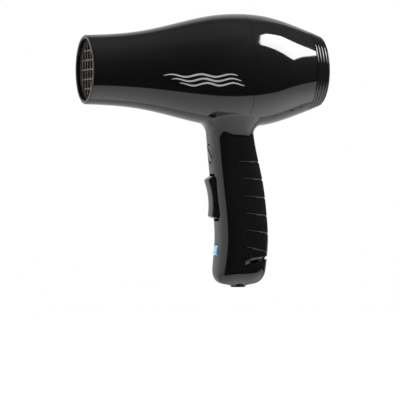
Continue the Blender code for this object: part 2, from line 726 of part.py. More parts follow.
def armature():
    """Three-pole rotor core on the motor's shaft."""
    outline = []
    for pole in range(3):
        middle = 120 * pole
        for offset, r in ((-46, 7.9), (-30, 8.0), (-10, 8.0), (10, 8.0), (30, 8.0), (46, 7.9), (44, 6.6), (14, 5.6)):
            angle = math.radians(middle + offset)
            outline.append((r * math.sin(angle), AXIS_Z + r * math.cos(angle)))
        angle = math.radians(middle + 60)
        outline.append((3.4 * math.sin(angle), AXIS_Z + 3.4 * math.cos(angle)))
        angle = math.radians(middle + 120 - 14)
        outline.append((5.6 * math.sin(angle), AXIS_Z + 5.6 * math.cos(angle)))
        angle = math.radians(middle + 120 - 44)
        outline.append((6.6 * math.sin(angle), AXIS_Z + 6.6 * math.cos(angle)))
    core = prism("armature", outline, 2.4, 17.0, "copper", "X")
    combine(core, "DIFFERENCE", on_barrel("armature_bore", [(0, 1.3), (20, 1.3)], "copper", 12))
    return pivot_at(core, duct_turn(0))


def impeller():
    hub = [(24.5, 12.6), (36.0, 12.0), (38.5, 9.5), (39.5, 5.0), (39.5, 1.3), (33.0, 1.3), (33.0, 3.5)]
    hub += [(37.0, 8.0), (35.0, 10.6), (24.5, 11.2)]
    fan = revolve("impeller", hub, "black_plastic", 28)
    blades = 7
    for k in range(blades):
        rings = []
        for r in (11.7, 18.0, 24.0, 29.0):
            pitch = math.radians(62 - 1.3 * (r - 11.7))
            chord = 5.6 + 0.22 * (r - 11.7)
            centre = 31.2
            sweep = math.radians(360 / blades * k) + 0.012 * (r - 11.7)
            section = []
            for along, across in ((-1, -0.35), (-0.2, -0.6), (1, -0.35), (1, 0.35), (-0.2, 0.75), (-1, 0.35)):
                a, b = along * chord, across
                x = centre + (a * math.cos(pitch) - b * math.sin(pitch)) * 0.95
                t = a * math.sin(pitch) + b * math.cos(pitch)
                angle = sweep + t / r
                section.append((x, r * math.sin(angle), AXIS_Z + r * math.cos(angle)))
            rings.append(section)
        combine(fan, "UNION", loft(f"blade_{k}", rings, "black_plastic"))
    return pivot_at(fan, duct_turn(0))


# ---------------------------------------------------------------- controls
def rocker():
    frame = front_frame(ROCKER_Z)
    pivot = ROCKER_PIVOT_DEPTH
    end = [math.radians(a) for a in (ROCKER_END, 57, 67, 77)]
    end = [(pivot - ROCKER_RADIUS * math.cos(a), ROCKER_RADIUS * math.sin(a)) for a in end]
    outline = [(x, -v) for x, v in reversed(end)]
    for v in (-9.0, -4.5, 0.0, 4.5, 9.0):
        outline.append((-ROCKER_WAIST + (end[0][0] + ROCKER_WAIST) * (v / end[0][1]) ** 2, v))
    outline += end
    outline += [
        (pivot - 1.0, 12.0), (pivot + 1.8, 3.0), (pivot + 2.6, 0.0), (pivot + 1.8, -3.0),
        (pivot - 1.0, -12.0),
    ]
    button = prism(
        "rocker_button", outline, -ROCKER_HALF_WIDTH, ROCKER_HALF_WIDTH, "gloss_black", "Y", frame
    )
    bore = pin_solid("rocker_bore", 1.3, 14.0, frame, pivot, "gloss_black")
    pivot_at(combine(button, "DIFFERENCE", bore), frame @ Matrix.Translation(Vector((pivot, 0, 0)) * MM))
    body = box("rocker_switch_body", (4.2, -6.7, -16.8), (15.0, 6.7, 16.8), "grey_plastic", frame)
    well = box("rocker_well", (1.0, -5.9, -16.2), (10.5, 5.9, 16.2), "grey_plastic", frame)
    seat = pin_solid("pin_seat", 1.2, 14.6, frame, pivot + 0.1, "grey_plastic")
    combine(body, "DIFFERENCE", well, seat)
    pin_solid("rocker_pin", 0.9, 13.2, frame, pivot + 0.05, "steel")
    for k, v in enumerate((-10.0, 0.0, 10.0)):
        low, high = (15.3, -2.2, v - 0.4), (20.0, 2.2, v + 0.4)
        box(f"switch_terminal_{k + 1}", low, high, "brass", frame)


def pin_solid(name, radius, length, frame, depth, slot):
    """A cylinder along Y at the given depth in a front frame."""
    sides = 14
    angles = [2 * math.pi * k / sides for k in range(sides)]
    outline = [(depth + radius * math.cos(a), radius * math.sin(a)) for a in angles]
    return prism(name, outline, -length / 2, length / 2, slot, "Y", frame)


def voltage_selector():
    frame = front_frame(DIAL_Z)
    dial = turned(
        "voltage_dial", [(0.9, DIAL_RADIUS), (3.4, DIAL_RADIUS), (3.4, 2.0), (8.6, 2.0)], "gloss_black", 24,
        frame,
    )
    tilt = frame @ Matrix.Rotation(math.radians(45), 4, "X")
    slot = box("coin_slot", (0.0, -5.0, -0.7), (2.0, 5.0, 0.7), "gloss_black", tilt)
    combine(dial, "DIFFERENCE", slot)
    body = turned("selector_body", [(4.4, 7.4), (11.4, 7.4), (12.0, 6.8)], "grey_plastic", 20, frame)
    bore = turned("selector_bore", [(3.0, 2.3), (9.2, 2.3)], "grey_plastic", 14, frame)
    combine(body, "DIFFERENCE", bore)


def cool_shot():
    frame = front_frame(COOL_Z)
    cap = [(-0.3, 3.6), (-1.0, 2.2), (-1.9, -2.2), (-1.6, -3.4), (-0.6, -3.7), (3.1, -3.7), (3.1, 3.6)]
    button = prism("cool_shot_button", cap, -4.2, 4.2, "blue_plastic", "Y", frame)
    flange = prism("cool_flange", rounded_rectangle(5.4, 4.8, 1.0), 3.0, 4.0, "blue_plastic", "X", frame)
    stem = turned("cool_stem", [(3.5, 1.7), (9.2, 1.7)], "blue_plastic", 12, frame)
    combine(button, "UNION", flange, stem)
    body = box("cool_shot_switch", (8.6, -4.0, -6.0), (16.0, 4.0, 6.0), "grey_plastic", frame)
    bore = turned("cool_bore", [(7.0, 2.0), (12.0, 2.0)], "grey_plastic", 12, frame)
    combine(body, "DIFFERENCE", bore)
    turns, per_turn, radius = 3, 8, 2.7
    coil = []
    for k in range(turns * per_turn + 1):
        angle = 2 * math.pi * k / per_turn
        depth = 4.7 + 3.2 * k / (turns * per_turn)
        coil.append(
            tuple(frame @ Vector((depth * MM, radius * math.cos(angle) * MM, radius * math.sin(angle) * MM)) / MM)
        )
    tube("cool_shot_spring", coil, 0.3, "steel", 1)


def handle_hardware():
    for k, z in enumerate(HANDLE_SCREW_Z):
        place = Matrix.Translation(Vector((handle_centre(z) + 2.7, 0, z)) * MM)
        screw(f"handle_screw_{k + 1}", place, 0.95, 2.3, 8.5)
    bar = box("cord_clamp", (29.6, -9.2, CLAMP_Z - 2.4), (31.6, 9.2, CLAMP_Z + 2.4), "black_plastic")
    for k, side in enumerate((-1, 1)):
        hole = turned(
            f"clamp_hole_{k}", [(28, 1.2), (33, 1.2)], "black_plastic", 10, centre=(side * 6.6, CLAMP_Z)
        )
        combine(bar, "DIFFERENCE", hole)
        place = Matrix.Translation(Vector((31.9, side * 6.6, CLAMP_Z)) * MM)
        screw(f"clamp_screw_{k + 1}", place, 0.85, 1.8, 8.0)
    gland = vertical(
        "cord_gland", [(0, 5.0), (2.1, 5.0), (2.1, 4.0), (5.6, 4.0), (5.6, 4.9), (7.2, 4.6)], CORD_X, 20,
        "black_rubber",
    )
    bore = vertical(
        "gland_bore", [(-1, CORD_BORE_RADIUS), (9, CORD_BORE_RADIUS)], CORD_X, 20, "black_rubber"
    )
    combine(gland, "DIFFERENCE", bore)
    box("suppression_capacitor", (31.5, -5.5, 46.0), (38.0, 5.5, 60.0), "grey_plastic")


def wiring():
    """Leads from the cord clamp and the switch up into the barrel, past the fan's duct to the motor's board."""
    top = [(15.0, 8.0, 112.0), (8.0, 8.2, 118.4), (1.0, 8.4, 119.4), (-4.5, 8.2, 120.0), (-8.4, 7.6, 125.0)]
    top += [(-9.4, 6.8, 133.0), (-10.8, 5.6, 141.6)]
    neutral = [
        (28.0, -6.6, 28.0), (33.5, -8.2, 40.0), (35.0, -8.4, 55.0), (33.0, -8.4, 70.0), (30.0, -8.4, 86.0)
    ]
    neutral += [(25.0, -8.2, 100.0), *[(x, -y, z) for x, y, z in top]]
    tube("neutral_lead", smooth_route(neutral, 28), 0.8, "wire_white", 1)
    live = [(31.2, 0.0, 75.0), (31.2, 6.0, 82.0), (29.0, 8.2, 90.0), (24.0, 8.2, 101.0), *top]
    tube("live_lead", smooth_route(live, 24), 0.8, "wire_red", 1)


def main():
    for obj in list(bpy.data.objects):
        bpy.data.objects.remove(obj)
    front_housing()
    rear_housing()
    handle_back()
    rear_cap()
    outlet()
    heater()
    fan_duct()
    motor()
    impeller()
    rocker()
    voltage_selector()
    cool_shot()
    handle_hardware()
    wiring()


main()
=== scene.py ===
"""Travel hair dryer: glossy black shells, grip, controls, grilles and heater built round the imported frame.

Lengths in this file are in millimetres; the mesh builders turn them into metres. The barrel lies along X with
its outlet at -X, the handle hangs towards -Z, and the whole shape is mirror-symmetric about Y = 0.
"""

import math

import bmesh
import bpy
import numpy as np
from mathutils import Matrix, Vector


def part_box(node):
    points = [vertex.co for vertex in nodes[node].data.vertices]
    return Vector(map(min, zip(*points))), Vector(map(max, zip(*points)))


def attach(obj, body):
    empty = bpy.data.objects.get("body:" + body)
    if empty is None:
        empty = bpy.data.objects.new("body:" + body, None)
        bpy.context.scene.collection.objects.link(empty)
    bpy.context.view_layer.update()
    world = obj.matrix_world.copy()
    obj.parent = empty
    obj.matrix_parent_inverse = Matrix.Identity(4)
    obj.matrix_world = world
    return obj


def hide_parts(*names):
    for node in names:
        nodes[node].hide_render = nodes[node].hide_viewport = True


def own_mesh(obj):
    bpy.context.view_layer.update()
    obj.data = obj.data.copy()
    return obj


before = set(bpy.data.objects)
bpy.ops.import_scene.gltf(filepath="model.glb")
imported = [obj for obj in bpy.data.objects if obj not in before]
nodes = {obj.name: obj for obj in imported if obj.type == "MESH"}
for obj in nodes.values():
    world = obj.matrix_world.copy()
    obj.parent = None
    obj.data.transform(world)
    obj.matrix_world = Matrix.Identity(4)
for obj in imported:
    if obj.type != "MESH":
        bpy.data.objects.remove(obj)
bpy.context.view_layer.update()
MM = 0.001


def box_mm(node):
    """Lowest and highest corner of a CAD node, in millimetres."""
    low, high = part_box(node)
    return np.array(low) / MM, np.array(high) / MM


# ---------------------------------------------------------------- dimensions taken from the frame
housing_low = box_mm("front_housing")[0]
cap_low, cap_high = box_mm("cap_ring")
AXIS_Z = float((cap_low[2] + cap_high[2]) / 2)
NOZZLE_X = float(housing_low[0])
REAR_X = float(cap_high[0])
# stations along the barrel: parting line of the two shells, start of the rear cap, then (x, radius) pairs
SEAM_X = 26.8
CAP_X = 74.8
PROFILE = (
    (NOZZLE_X, 24.0),
    (-66.0, 24.9),
    (-41.0, 28.0),
    (-11.0, 35.0),
    (8.0, 38.7),
    (SEAM_X, 39.8),
    (48.0, 37.6),
    (66.0, 32.2),
    (CAP_X, 29.0),
    (REAR_X, 24.6),
)

# handle, as (height, value) pairs; its section is a superellipse of the given squareness
HANDLE_CENTRE = (
    (0.0, 25.1), (12.0, 26.0), (33.0, 27.8), (50.0, 27.1), (75.0, 24.3), (100.0, 20.5), (130.0, 17.7)
)
HANDLE_HALF_DEPTH = ((0.0, 18.1), (12.0, 18.2), (50.0, 18.0), (75.0, 17.7), (100.0, 16.1), (130.0, 15.9))
HANDLE_HALF_WIDTH = (
    (0.0, 6.8), (6.0, 10.4), (12.0, 12.8), (19.0, 13.75), (28.0, 13.95), (50.0, 13.9), (100.0, 13.4),
    (130.0, 13.4),
)
SQUARENESS = 3.4
# rounded end of the handle, and the reach of the neck's fillet at the front and back and at the sides
DOME_TOP = 13.7
DOME_BOTTOM = 0.6
DOME_FULLNESS = 2.9
FILLET = 5.8
SIDE_FILLET = 5.0

GRIP_TOP = 103.5
GRIP_BOTTOM = 16.5
# finger grooves as (height, tilt), each with a slope above it, and the notch below the grip
GROOVES = ((87.5, 0.02), (75.6, 0.05), (63.4, 0.09), (51.3, 0.12), (39.5, 0.155), (27.6, 0.23))
GROOVE_DEPTH = 0.62
GROOVE_HEIGHT = 0.95
GRIP_BOTTOM_RISE = -0.18
LEDGE_HEIGHT = 3.9
LEDGE_DEPTH = 1.9
# half-widths of the front shell's tongue under the rear shell, and the gap left at the parting line
TONGUE_FRONT, TONGUE_REAR = 20.6, 18.8
TONGUE_TOP = 137.0
GAP = 0.24
FRONT_WALL, REAR_WALL, GRIP_WALL = 1.8, 1.6, 1.6

ROCKER_Z, DIAL_Z, COOL_Z = 63.0, 93.6, 26.0
SCREW_Z = (84.0, 38.0)
SCREW_HOLE = 2.7
GLAND_X = 25.2


def spline_through(points):
    """Natural cubic spline through (position, value) pairs, as a function that takes arrays."""
    xs, ys = np.array(points, float).T
    n = len(xs)
    h = np.diff(xs)
    a = np.zeros((n, n))
    b = np.zeros(n)
    a[0, 0] = a[-1, -1] = 1.0
    for i in range(1, n - 1):
        a[i, i - 1 : i + 2] = h[i - 1], 2 * (h[i - 1] + h[i]), h[i]
        b[i] = 6 * ((ys[i + 1] - ys[i]) / h[i] - (ys[i] - ys[i - 1]) / h[i - 1])
    m = np.linalg.solve(a, b)

    def at(x):
        x = np.clip(np.asarray(x, float), xs[0], xs[-1])
        i = np.clip(np.searchsorted(xs, x) - 1, 0, n - 2)
        left, right = xs[i + 1] - x, x - xs[i]
        curve = (m[i] * left**3 + m[i + 1] * right**3) / (6 * h[i])
        line = (ys[i] / h[i] - m[i] * h[i] / 6) * left + (ys[i + 1] / h[i] - m[i + 1] * h[i] / 6) * right
        return curve + line

    return at


barrel_radius = spline_through(PROFILE)
centre = spline_through(HANDLE_CENTRE)
half_depth = spline_through(HANDLE_HALF_DEPTH)
half_width = spline_through(HANDLE_HALF_WIDTH)
groove_tilt = spline_through(
    ((0, 0), (9, 0), (GRIP_BOTTOM, GRIP_BOTTOM_RISE), *sorted(GROOVES), (96, 0), (110, 0))
)


def lean(back):
    """How far along the tilt of a groove a point lies, for its distance behind the handle's centre plane."""
    return back * (0.6 + 0.4 * back / 17.0)


def smoothstep(low, high, x):
    t = np.clip((np.asarray(x, float) - low) / (high - low), 0, 1)
    return t * t * (3 - 2 * t)


# ---------------------------------------------------------------- materials
def new_material(name, colour, roughness, metallic=0.0, **sockets):
    """A Principled material with constants on its own sockets; returns it with its node tree and shader."""
    made = bpy.data.materials.new(name)
    made.use_nodes = True
    tree = made.node_tree
    shader = tree.nodes["Principled BSDF"]
    shader.inputs["Base Color"].default_value = (*colour, 1.0)
    shader.inputs["Roughness"].default_value = roughness
    shader.inputs["Metallic"].default_value = metallic
    for key, value in sockets.items():
        shader.inputs[key.replace("_", " ")].default_value = value
    return made, tree, shader


def noise(tree, scale, detail=3.0, stretch=(1, 1, 1)):
    """A noise texture in object space, with features about 1 / scale metres across."""
    place = tree.nodes.new("ShaderNodeTexCoord")
    mapping = tree.nodes.new("ShaderNodeMapping")
    mapping.inputs["Scale"].default_value = stretch
    texture = tree.nodes.new("ShaderNodeTexNoise")
    texture.inputs["Scale"].default_value = scale
    texture.inputs["Detail"].default_value = detail
    tree.links.new(place.outputs["Object"], mapping.inputs["Vector"])
    tree.links.new(mapping.outputs["Vector"], texture.inputs["Vector"])
    return texture.outputs["Fac"]


def ramp(tree, value, low, high, stops=(0.35, 0.65)):
    """Colours or greys spread over a value between two stops."""
    node = tree.nodes.new("ShaderNodeValToRGB")
    first, second = node.color_ramp.elements
    first.position, second.position = stops
    first.color = (*low, 1.0) if len(low) == 3 else low
    second.color = (*high, 1.0) if len(high) == 3 else high
    tree.links.new(value, node.inputs["Fac"])
    return node.outputs["Color"]


def grey_ramp(tree, value, low, high, stops=(0.35, 0.65)):
    return ramp(tree, value, (low,) * 3, (high,) * 3, stops)


def bump(tree, shader, height, strength, distance):
    node = tree.nodes.new("ShaderNodeBump")
    node.inputs["Strength"].default_value = strength
    node.inputs["Distance"].default_value = distance
    tree.links.new(height, node.inputs["Height"])
    tree.links.new(node.outputs["Normal"], shader.inputs["Normal"])


def moulded(name, colour, roughness, variation=0.25, orange_peel=0.00001, **sockets):
    """Injection-moulded plastic: faint flow variation in gloss and colour, and a very fine orange peel."""
    made, tree, shader = new_material(name, colour, roughness, **sockets)
    flow = noise(tree, 45.0, 4.0, (0.5, 1.0, 1.0))
    darker = [c * (1 - variation) for c in colour]
    lighter = [min(1.0, c * (1 + variation)) for c in colour]
    tree.links.new(ramp(tree, flow, darker, lighter), shader.inputs["Base Color"])
    gloss = noise(tree, 160.0, 5.0)
    rough = grey_ramp(tree, gloss, roughness * 0.85, roughness * 1.25)
    tree.links.new(rough, shader.inputs["Roughness"])
    bump(tree, shader, noise(tree, 420.0, 2.0), 0.25, orange_peel)
    return made


def metal(name, colour, roughness, stretch=(1, 1, 1), tarnish=0.3):
    """Worked metal with stretched brushing and faint tarnish."""
    made, tree, shader = new_material(name, colour, roughness, 1.0)
    stain = noise(tree, 130.0, 6.0)
    tree.links.new(
        ramp(tree, stain, [c * (1 - tarnish) for c in colour], colour), shader.inputs["Base Color"]
    )
    grain = noise(tree, 900.0, 3.0, stretch)
    tree.links.new(
        grey_ramp(tree, grain, roughness * 0.7, min(1.0, roughness * 1.4)), shader.inputs["Roughness"]
    )
    bump(tree, shader, grain, 0.3, 0.00003)
    return made


SHELL = moulded("gloss_black_shell", (0.0012, 0.0012, 0.0012), 0.05, IOR=1.5)
SATIN = moulded("satin_black_nylon", (0.012, 0.012, 0.0125), 0.38, orange_peel=0.00004)
MATT = moulded("matt_black_nylon", (0.006, 0.006, 0.006), 0.7, orange_peel=0.00006, IOR=1.25)
RUBBER = moulded("black_rubber_gland", (0.005, 0.005, 0.005), 0.75, orange_peel=0.00008, IOR=1.3)
GREY = moulded("grey_nylon", (0.36, 0.37, 0.38), 0.5, variation=0.12, orange_peel=0.00004)
MICA = moulded("pressed_mica", (0.26, 0.2, 0.12), 0.45, variation=0.35, orange_peel=0.00005)
BOARD = moulded("phenolic_board", (0.28, 0.17, 0.06), 0.45, variation=0.2)
MARK = moulded("pale_grey_print", (0.20, 0.20, 0.195), 0.45, variation=0.08)
LATTICE = metal("warm_grey_grille", (0.21, 0.19, 0.155), 0.42, tarnish=0.5)
STEEL = metal("zinc_steel", (0.58, 0.58, 0.57), 0.3, (1, 1, 0.2))
BRASS = metal("brass", (0.72, 0.52, 0.22), 0.3)
COPPER = metal("copper_winding", (0.66, 0.28, 0.14), 0.35, (1, 0.1, 1))
NICHROME = metal("resistance_wire", (0.42, 0.38, 0.34), 0.42)
FERRITE = moulded("ferrite_magnet", (0.035, 0.035, 0.038), 0.6, orange_peel=0.00008)
RED = moulded("red_insulation", (0.42, 0.03, 0.02), 0.42)
WHITE = moulded("white_insulation", (0.72, 0.71, 0.68), 0.42, variation=0.1)


def blue_plastic():
    """Pale blue translucent plastic of the cool-shot button."""
    made = moulded("cool_shot_blue", (0.22, 0.46, 0.62), 0.3, variation=0.05)
    shader = made.node_tree.nodes["Principled BSDF"]
    shader.inputs["Subsurface Weight"].default_value = 0.2
    shader.inputs["Subsurface Radius"].default_value = (0.6, 1.0, 1.0)
    shader.inputs["Subsurface Scale"].default_value = 0.003
    return made


BLUE = blue_plastic()


# ---------------------------------------------------------------- mesh builders
def add_object(name, mesh, material, angle=32.0):
    obj = bpy.data.objects.new(name, mesh)
    bpy.context.scene.collection.objects.link(obj)
    mesh.materials.append(material)
    mesh.shade_smooth()
    if angle is not None:
        mesh.set_sharp_from_angle(angle=math.radians(angle))
    return obj


def mesh_object(name, points, faces, material, matrix=None, angle=32.0):
    """A mesh from points in millimetres, with its faces turned outwards where it is closed."""
    mesh = bpy.data.meshes.new(name)
    mesh.from_pydata([tuple(np.asarray(p, float) * MM) for p in points], [], faces)
    bm = bmesh.new()
    bm.from_mesh(mesh)
    bmesh.ops.remove_doubles(bm, verts=bm.verts, dist=1e-7)
    bmesh.ops.recalc_face_normals(bm, faces=bm.faces)
    bm.to_mesh(mesh)
    bm.free()
    obj = add_object(name, mesh, material, angle)
    if matrix is not None:
        obj.matrix_world = matrix
    return obj


def grid_faces(rows, columns, wrap_rows=False, wrap_columns=True):
    """Quads between neighbouring rows and columns of a grid of points."""
    last_row = rows if wrap_rows else rows - 1
    last_column = columns if wrap_columns else columns - 1
    faces = []
    for r in range(last_row):
        low, high = r * columns, (r + 1) % rows * columns
        for c in range(last_column):
            d = (c + 1) % columns
            faces.append((low + c, low + d, high + d, high + c))
    return faces


def revolved(name, outline, material, sides=128, matrix=None, centre_yz=(0.0, None), angle=32.0):
    """Turns a closed outline of (x, radius) about a line along X."""
    cy, cz = centre_yz[0], AXIS_Z if centre_yz[1] is None else centre_yz[1]
    points = []
    for k in range(sides):
        turn = 2 * math.pi * k / sides
        points += [(x, cy + r * math.sin(turn), cz + r * math.cos(turn)) for x, r in outline]
    faces = grid_faces(sides, len(outline), wrap_rows=True, wrap_columns=True)
    return mesh_object(name, points, faces, material, matrix, angle)


def lathe(name, outline, material, sides=48, matrix=None, centre_yz=(0.0, 0.0), angle=32.0):
    """A solid turned about a line along X whose outline runs from one flat end to the other."""
    points = []
    for x, r in outline:
        for k in range(sides):
            turn = 2 * math.pi * k / sides
            points.append((x, centre_yz[0] + r * math.sin(turn), centre_yz[1] + r * math.cos(turn)))
    faces = grid_faces(len(outline), sides)
    faces += [tuple(range(sides)), tuple(range(len(points) - sides, len(points)))]
    return mesh_object(name, points, faces, material, matrix, angle)


def apply_modifiers(obj):
    """Bakes an object's modifiers into its mesh."""
    graph = bpy.context.evaluated_depsgraph_get()
    mesh = bpy.data.meshes.new_from_object(obj.evaluated_get(graph))
    obj.modifiers.clear()
    obj.data = mesh
    return obj


def bevel(obj, width, segments=3, angle=35.0):
    modifier = obj.modifiers.new("bevel", "BEVEL")
    modifier.width = width * MM
    modifier.segments = segments
    modifier.limit_method = "ANGLE"
    modifier.angle_limit = math.radians(angle)
    modifier.harden_normals = False
    return obj


def cut(obj, *cutters):
    """Subtracts the cutters, bakes the result and removes the cutters."""
    for cutter in cutters:
        modifier = obj.modifiers.new(cutter.name, "BOOLEAN")
        modifier.operation = "DIFFERENCE"
        modifier.solver = "EXACT"
        modifier.object = cutter
    apply_modifiers(obj)
    for cutter in cutters:
        bpy.data.objects.remove(cutter)
    return obj


def smooth(obj, angle=32.0):
    obj.data.shade_smooth()
    obj.data.set_sharp_from_angle(angle=math.radians(angle))
    return obj


def prism(name, outline, low, high, material, axis="Y", matrix=None):
    """Extrudes a flat outline along one axis; its points hold the other two coordinates."""
    place = {
        "X": lambda a, b, c: (c, a, b), "Y": lambda a, b, c: (a, c, b), "Z": lambda a, b, c: (a, b, c)
    }[axis]
    n = len(outline)
    points = [place(a, b, c) for c in (low, high) for a, b in outline]
    faces = [*grid_faces(2, n), tuple(range(n)), tuple(range(n, 2 * n))]
    return mesh_object(name, points, faces, material, matrix)


def rounded_rectangle(half_a, half_b, radius, steps=8):
    points = []
    for k, (sa, sb) in enumerate(((1, 1), (-1, 1), (-1, -1), (1, -1))):
        for s in range(steps + 1):
            turn = math.radians(90 * k + 90 * s / steps)
            a = sa * (half_a - radius) + radius * math.cos(turn)
            b = sb * (half_b - radius) + radius * math.sin(turn)
            points.append((a, b))
    return points


def wire(name, points, radius, material, sides=8, cyclic=False):
    """A round wire through points in millimetres, as a mesh swept with parallel frames."""
    path = np.array(points, float)
    n = len(path)
    tangents = np.gradient(path, axis=0)
    if cyclic:
        tangents = np.roll(path, -1, 0) - np.roll(path, 1, 0)
    tangents /= np.linalg.norm(tangents, axis=1)[:, None]
    seed = np.array([0.0, 0.0, 1.0]) if abs(tangents[0, 2]) < 0.9 else np.array([1.0, 0.0, 0.0])
    side = np.cross(tangents[0], seed)
    side /= np.linalg.norm(side)
    rings = []
    for p, t in zip(path, tangents):
        side = side - t * (side @ t)
        side /= np.linalg.norm(side)
        other = np.cross(t, side)
        for k in range(sides):
            turn = 2 * math.pi * k / sides
            rings.append(p + radius * (side * math.cos(turn) + other * math.sin(turn)))
    faces = grid_faces(n, sides, wrap_rows=cyclic)
    if not cyclic:
        faces += [tuple(range(sides)), tuple(range(n * sides - sides, n * sides))]
    return mesh_object(name, rings, faces, material, angle=60)


def front_frame(z):
    """Matrix of a frame on the handle's front: local X points into the handle, local Z up along it."""
    step = 2.0
    low, here, high = (float(centre(h) - half_depth(h)) for h in (z - step, z, z + step))
    lean = math.atan2(high - low, 2 * step)
    return Matrix.Translation(Vector((here, 0.0, z)) * MM) @ Matrix.Rotation(lean, 4, "Y")


# ---------------------------------------------------------------- outer skin of barrel, neck and handle
BARREL_COLUMNS = 160
PATCH_LOW, PATCH_HIGH = -10.0, 54.0
PATCH_CELLS = 36
PATCH_HALF_COLUMNS = 22
FILLET_STEPS = 9
PATCH_STEPS = 9
PATCH_EASE = 0.8


def handle_point(z, phi):
    """Point of the handle's plain surface at height z and angle phi, which is 0 at the back."""
    power = 2 / SQUARENESS
    c, s = np.cos(phi), np.sin(phi)
    x = centre(z) + half_depth(z) * np.sign(c) * np.abs(c) ** power
    y = half_width(z) * np.sign(s) * np.abs(s) ** power
    return x, y


def barrel_bottom(x, y):
    return AXIS_Z - np.sqrt(barrel_radius(x) ** 2 - y**2)


def lip_rows():
    """Rows of (x, radius) from inside the outlet and round its lip to the barrel's profile."""
    inner, outer = 21.4, 24.0
    rows = [(-79.0, inner), (-82.5, inner), (-85.0, inner), (-85.55, inner + 0.12), (-85.9, inner + 0.42)]
    rows += [(NOZZLE_X, inner + 0.8), (NOZZLE_X, outer - 1.3)]
    rows += [(-85.93, outer - 0.83), (-85.7, outer - 0.42), (-85.3, outer - 0.12), (-84.8, outer + 0.02)]
    return rows


def skin():
    """Vertices, faces and a region name for each face, of the whole outer surface in one sheet."""
    patch_x = np.linspace(PATCH_LOW, PATCH_HIGH, PATCH_CELLS + 1)
    front_x = np.linspace(-84.0, PATCH_LOW, 46)[:-1]
    rear_x = np.linspace(PATCH_HIGH, CAP_X, 16)[1:]
    stations = [*lip_rows(), *[(x, float(barrel_radius(x))) for x in (*front_x, *patch_x, *rear_x)]]
    first_patch = len(lip_rows()) + len(front_x)
    last_patch = first_patch + PATCH_CELLS
    columns = BARREL_COLUMNS
    verts, faces, regions = [], [], []
    for x, r in stations:
        for k in range(columns):
            turn = 2 * math.pi * k / columns
            verts.append((x, r * math.sin(turn), AXIS_Z - r * math.cos(turn)))
    half = PATCH_HALF_COLUMNS
    for i in range(len(stations) - 1):
        for k in range(columns):
            inside = k < half or k >= columns - half
            if first_patch <= i < last_patch and inside:
                continue
            d = (k + 1) % columns
            faces.append((i * columns + k, i * columns + d, (i + 1) * columns + d, (i + 1) * columns + k))
            regions.append("barrel")
    border = patch_border(first_patch, last_patch, columns, half)
    phis = np.array([phi for _, phi in border])
    rim = [index for index, _ in border]
    outer = np.array([verts[i] for i in rim])
    hole, top = fillet_curves(phis)
    n = len(border)

    def add_ring(points):
        start = len(verts)
        verts.extend(map(tuple, points))
        return list(range(start, start + n))

    def stitch(first, second, region):
        for k in range(n):
            d = (k + 1) % n
            faces.append((first[k], first[d], second[d], second[k]))
            regions.append(region)

    previous = rim
    for step in range(1, PATCH_STEPS + 1):
        t = (step / PATCH_STEPS) ** PATCH_EASE
        x = outer[:, 0] * (1 - t) + hole[:, 0] * t
        y = outer[:, 1] * (1 - t) + hole[:, 1] * t
        ring = add_ring(np.stack([x, y, barrel_bottom(x, y)], 1))
        stitch(previous, ring, "barrel")
        previous = ring
    reach = np.linalg.norm(hole - top, axis=1)[:, None] * 0.42
    out = outward(phis)
    slope = 0.1
    ahead = barrel_bottom(hole[:, 0] + out[:, 0] * slope, hole[:, 1] + out[:, 1] * slope) - hole[:, 2]
    tangent = np.stack([out[:, 0] * slope, out[:, 1] * slope, ahead], 1)
    tangent /= np.linalg.norm(tangent, axis=1)[:, None]
    rise = 0.5
    x1, y1 = handle_point(top[:, 2] + rise, phis)
    up = np.stack([x1 - top[:, 0], y1 - top[:, 1], np.full(n, rise)], 1)
    up /= np.linalg.norm(up, axis=1)[:, None]
    bend = (1 - 0.7 * np.sin(phis) ** 2)[:, None]
    p0, p1, p2, p3 = hole, hole - tangent * reach * bend, top + up * reach * bend, top
    for step in range(1, FILLET_STEPS + 1):
        t = step / FILLET_STEPS
        points = (1 - t) ** 3 * p0 + 3 * t * (1 - t) ** 2 * p1 + 3 * t**2 * (1 - t) * p2 + t**3 * p3
        ring = add_ring(points)
        stitch(previous, ring, "neck")
        previous = ring
    for z, share in handle_rows():
        level = np.full(n, z) if share is None else top[:, 2] * (1 - share) + z * share
        ring = add_ring(handle_surface(level, phis))
        stitch(previous, ring, "handle")
        previous = ring
    for ring_points in dome_rings(phis):
        ring = add_ring(ring_points)
        stitch(previous, ring, "dome")
        previous = ring
    return verts, faces, regions


def patch_border(first, last, columns, half):
    """Border vertices of the patch cut out of the barrel round the neck, each with its handle angle."""
    middle = (PATCH_LOW + PATCH_HIGH) / 2
    span = (PATCH_HIGH - PATCH_LOW) / 2
    border = []
    for k in range(-half, half + 1):
        border.append((last * columns + k % columns, math.atan2(k / half, 1.0)))
    for i in range(last - 1, first - 1, -1):
        x = PATCH_LOW + (i - first) * 2 * span / (last - first)
        border.append((i * columns + half, math.atan2(1.0, (x - middle) / span)))
    for k in range(half - 1, -half - 1, -1):
        border.append((first * columns + k % columns, math.atan2(k / half, -1.0)))
    for i in range(first + 1, last):
        x = PATCH_LOW + (i - first) * 2 * span / (last - first)
        border.append((i * columns + (-half) % columns, math.atan2(-1.0, (x - middle) / span)))
    return border


def outward(phis):
    """Unit vectors in plan that stand square to the handle's section."""
    z = 106.0
    step = 1e-3
    x0, y0 = handle_point(z, phis - step)
    x1, y1 = handle_point(z, phis + step)
    normal = np.stack([y1 - y0, x0 - x1], 1)
    return normal / np.linalg.norm(normal, axis=1)[:, None]


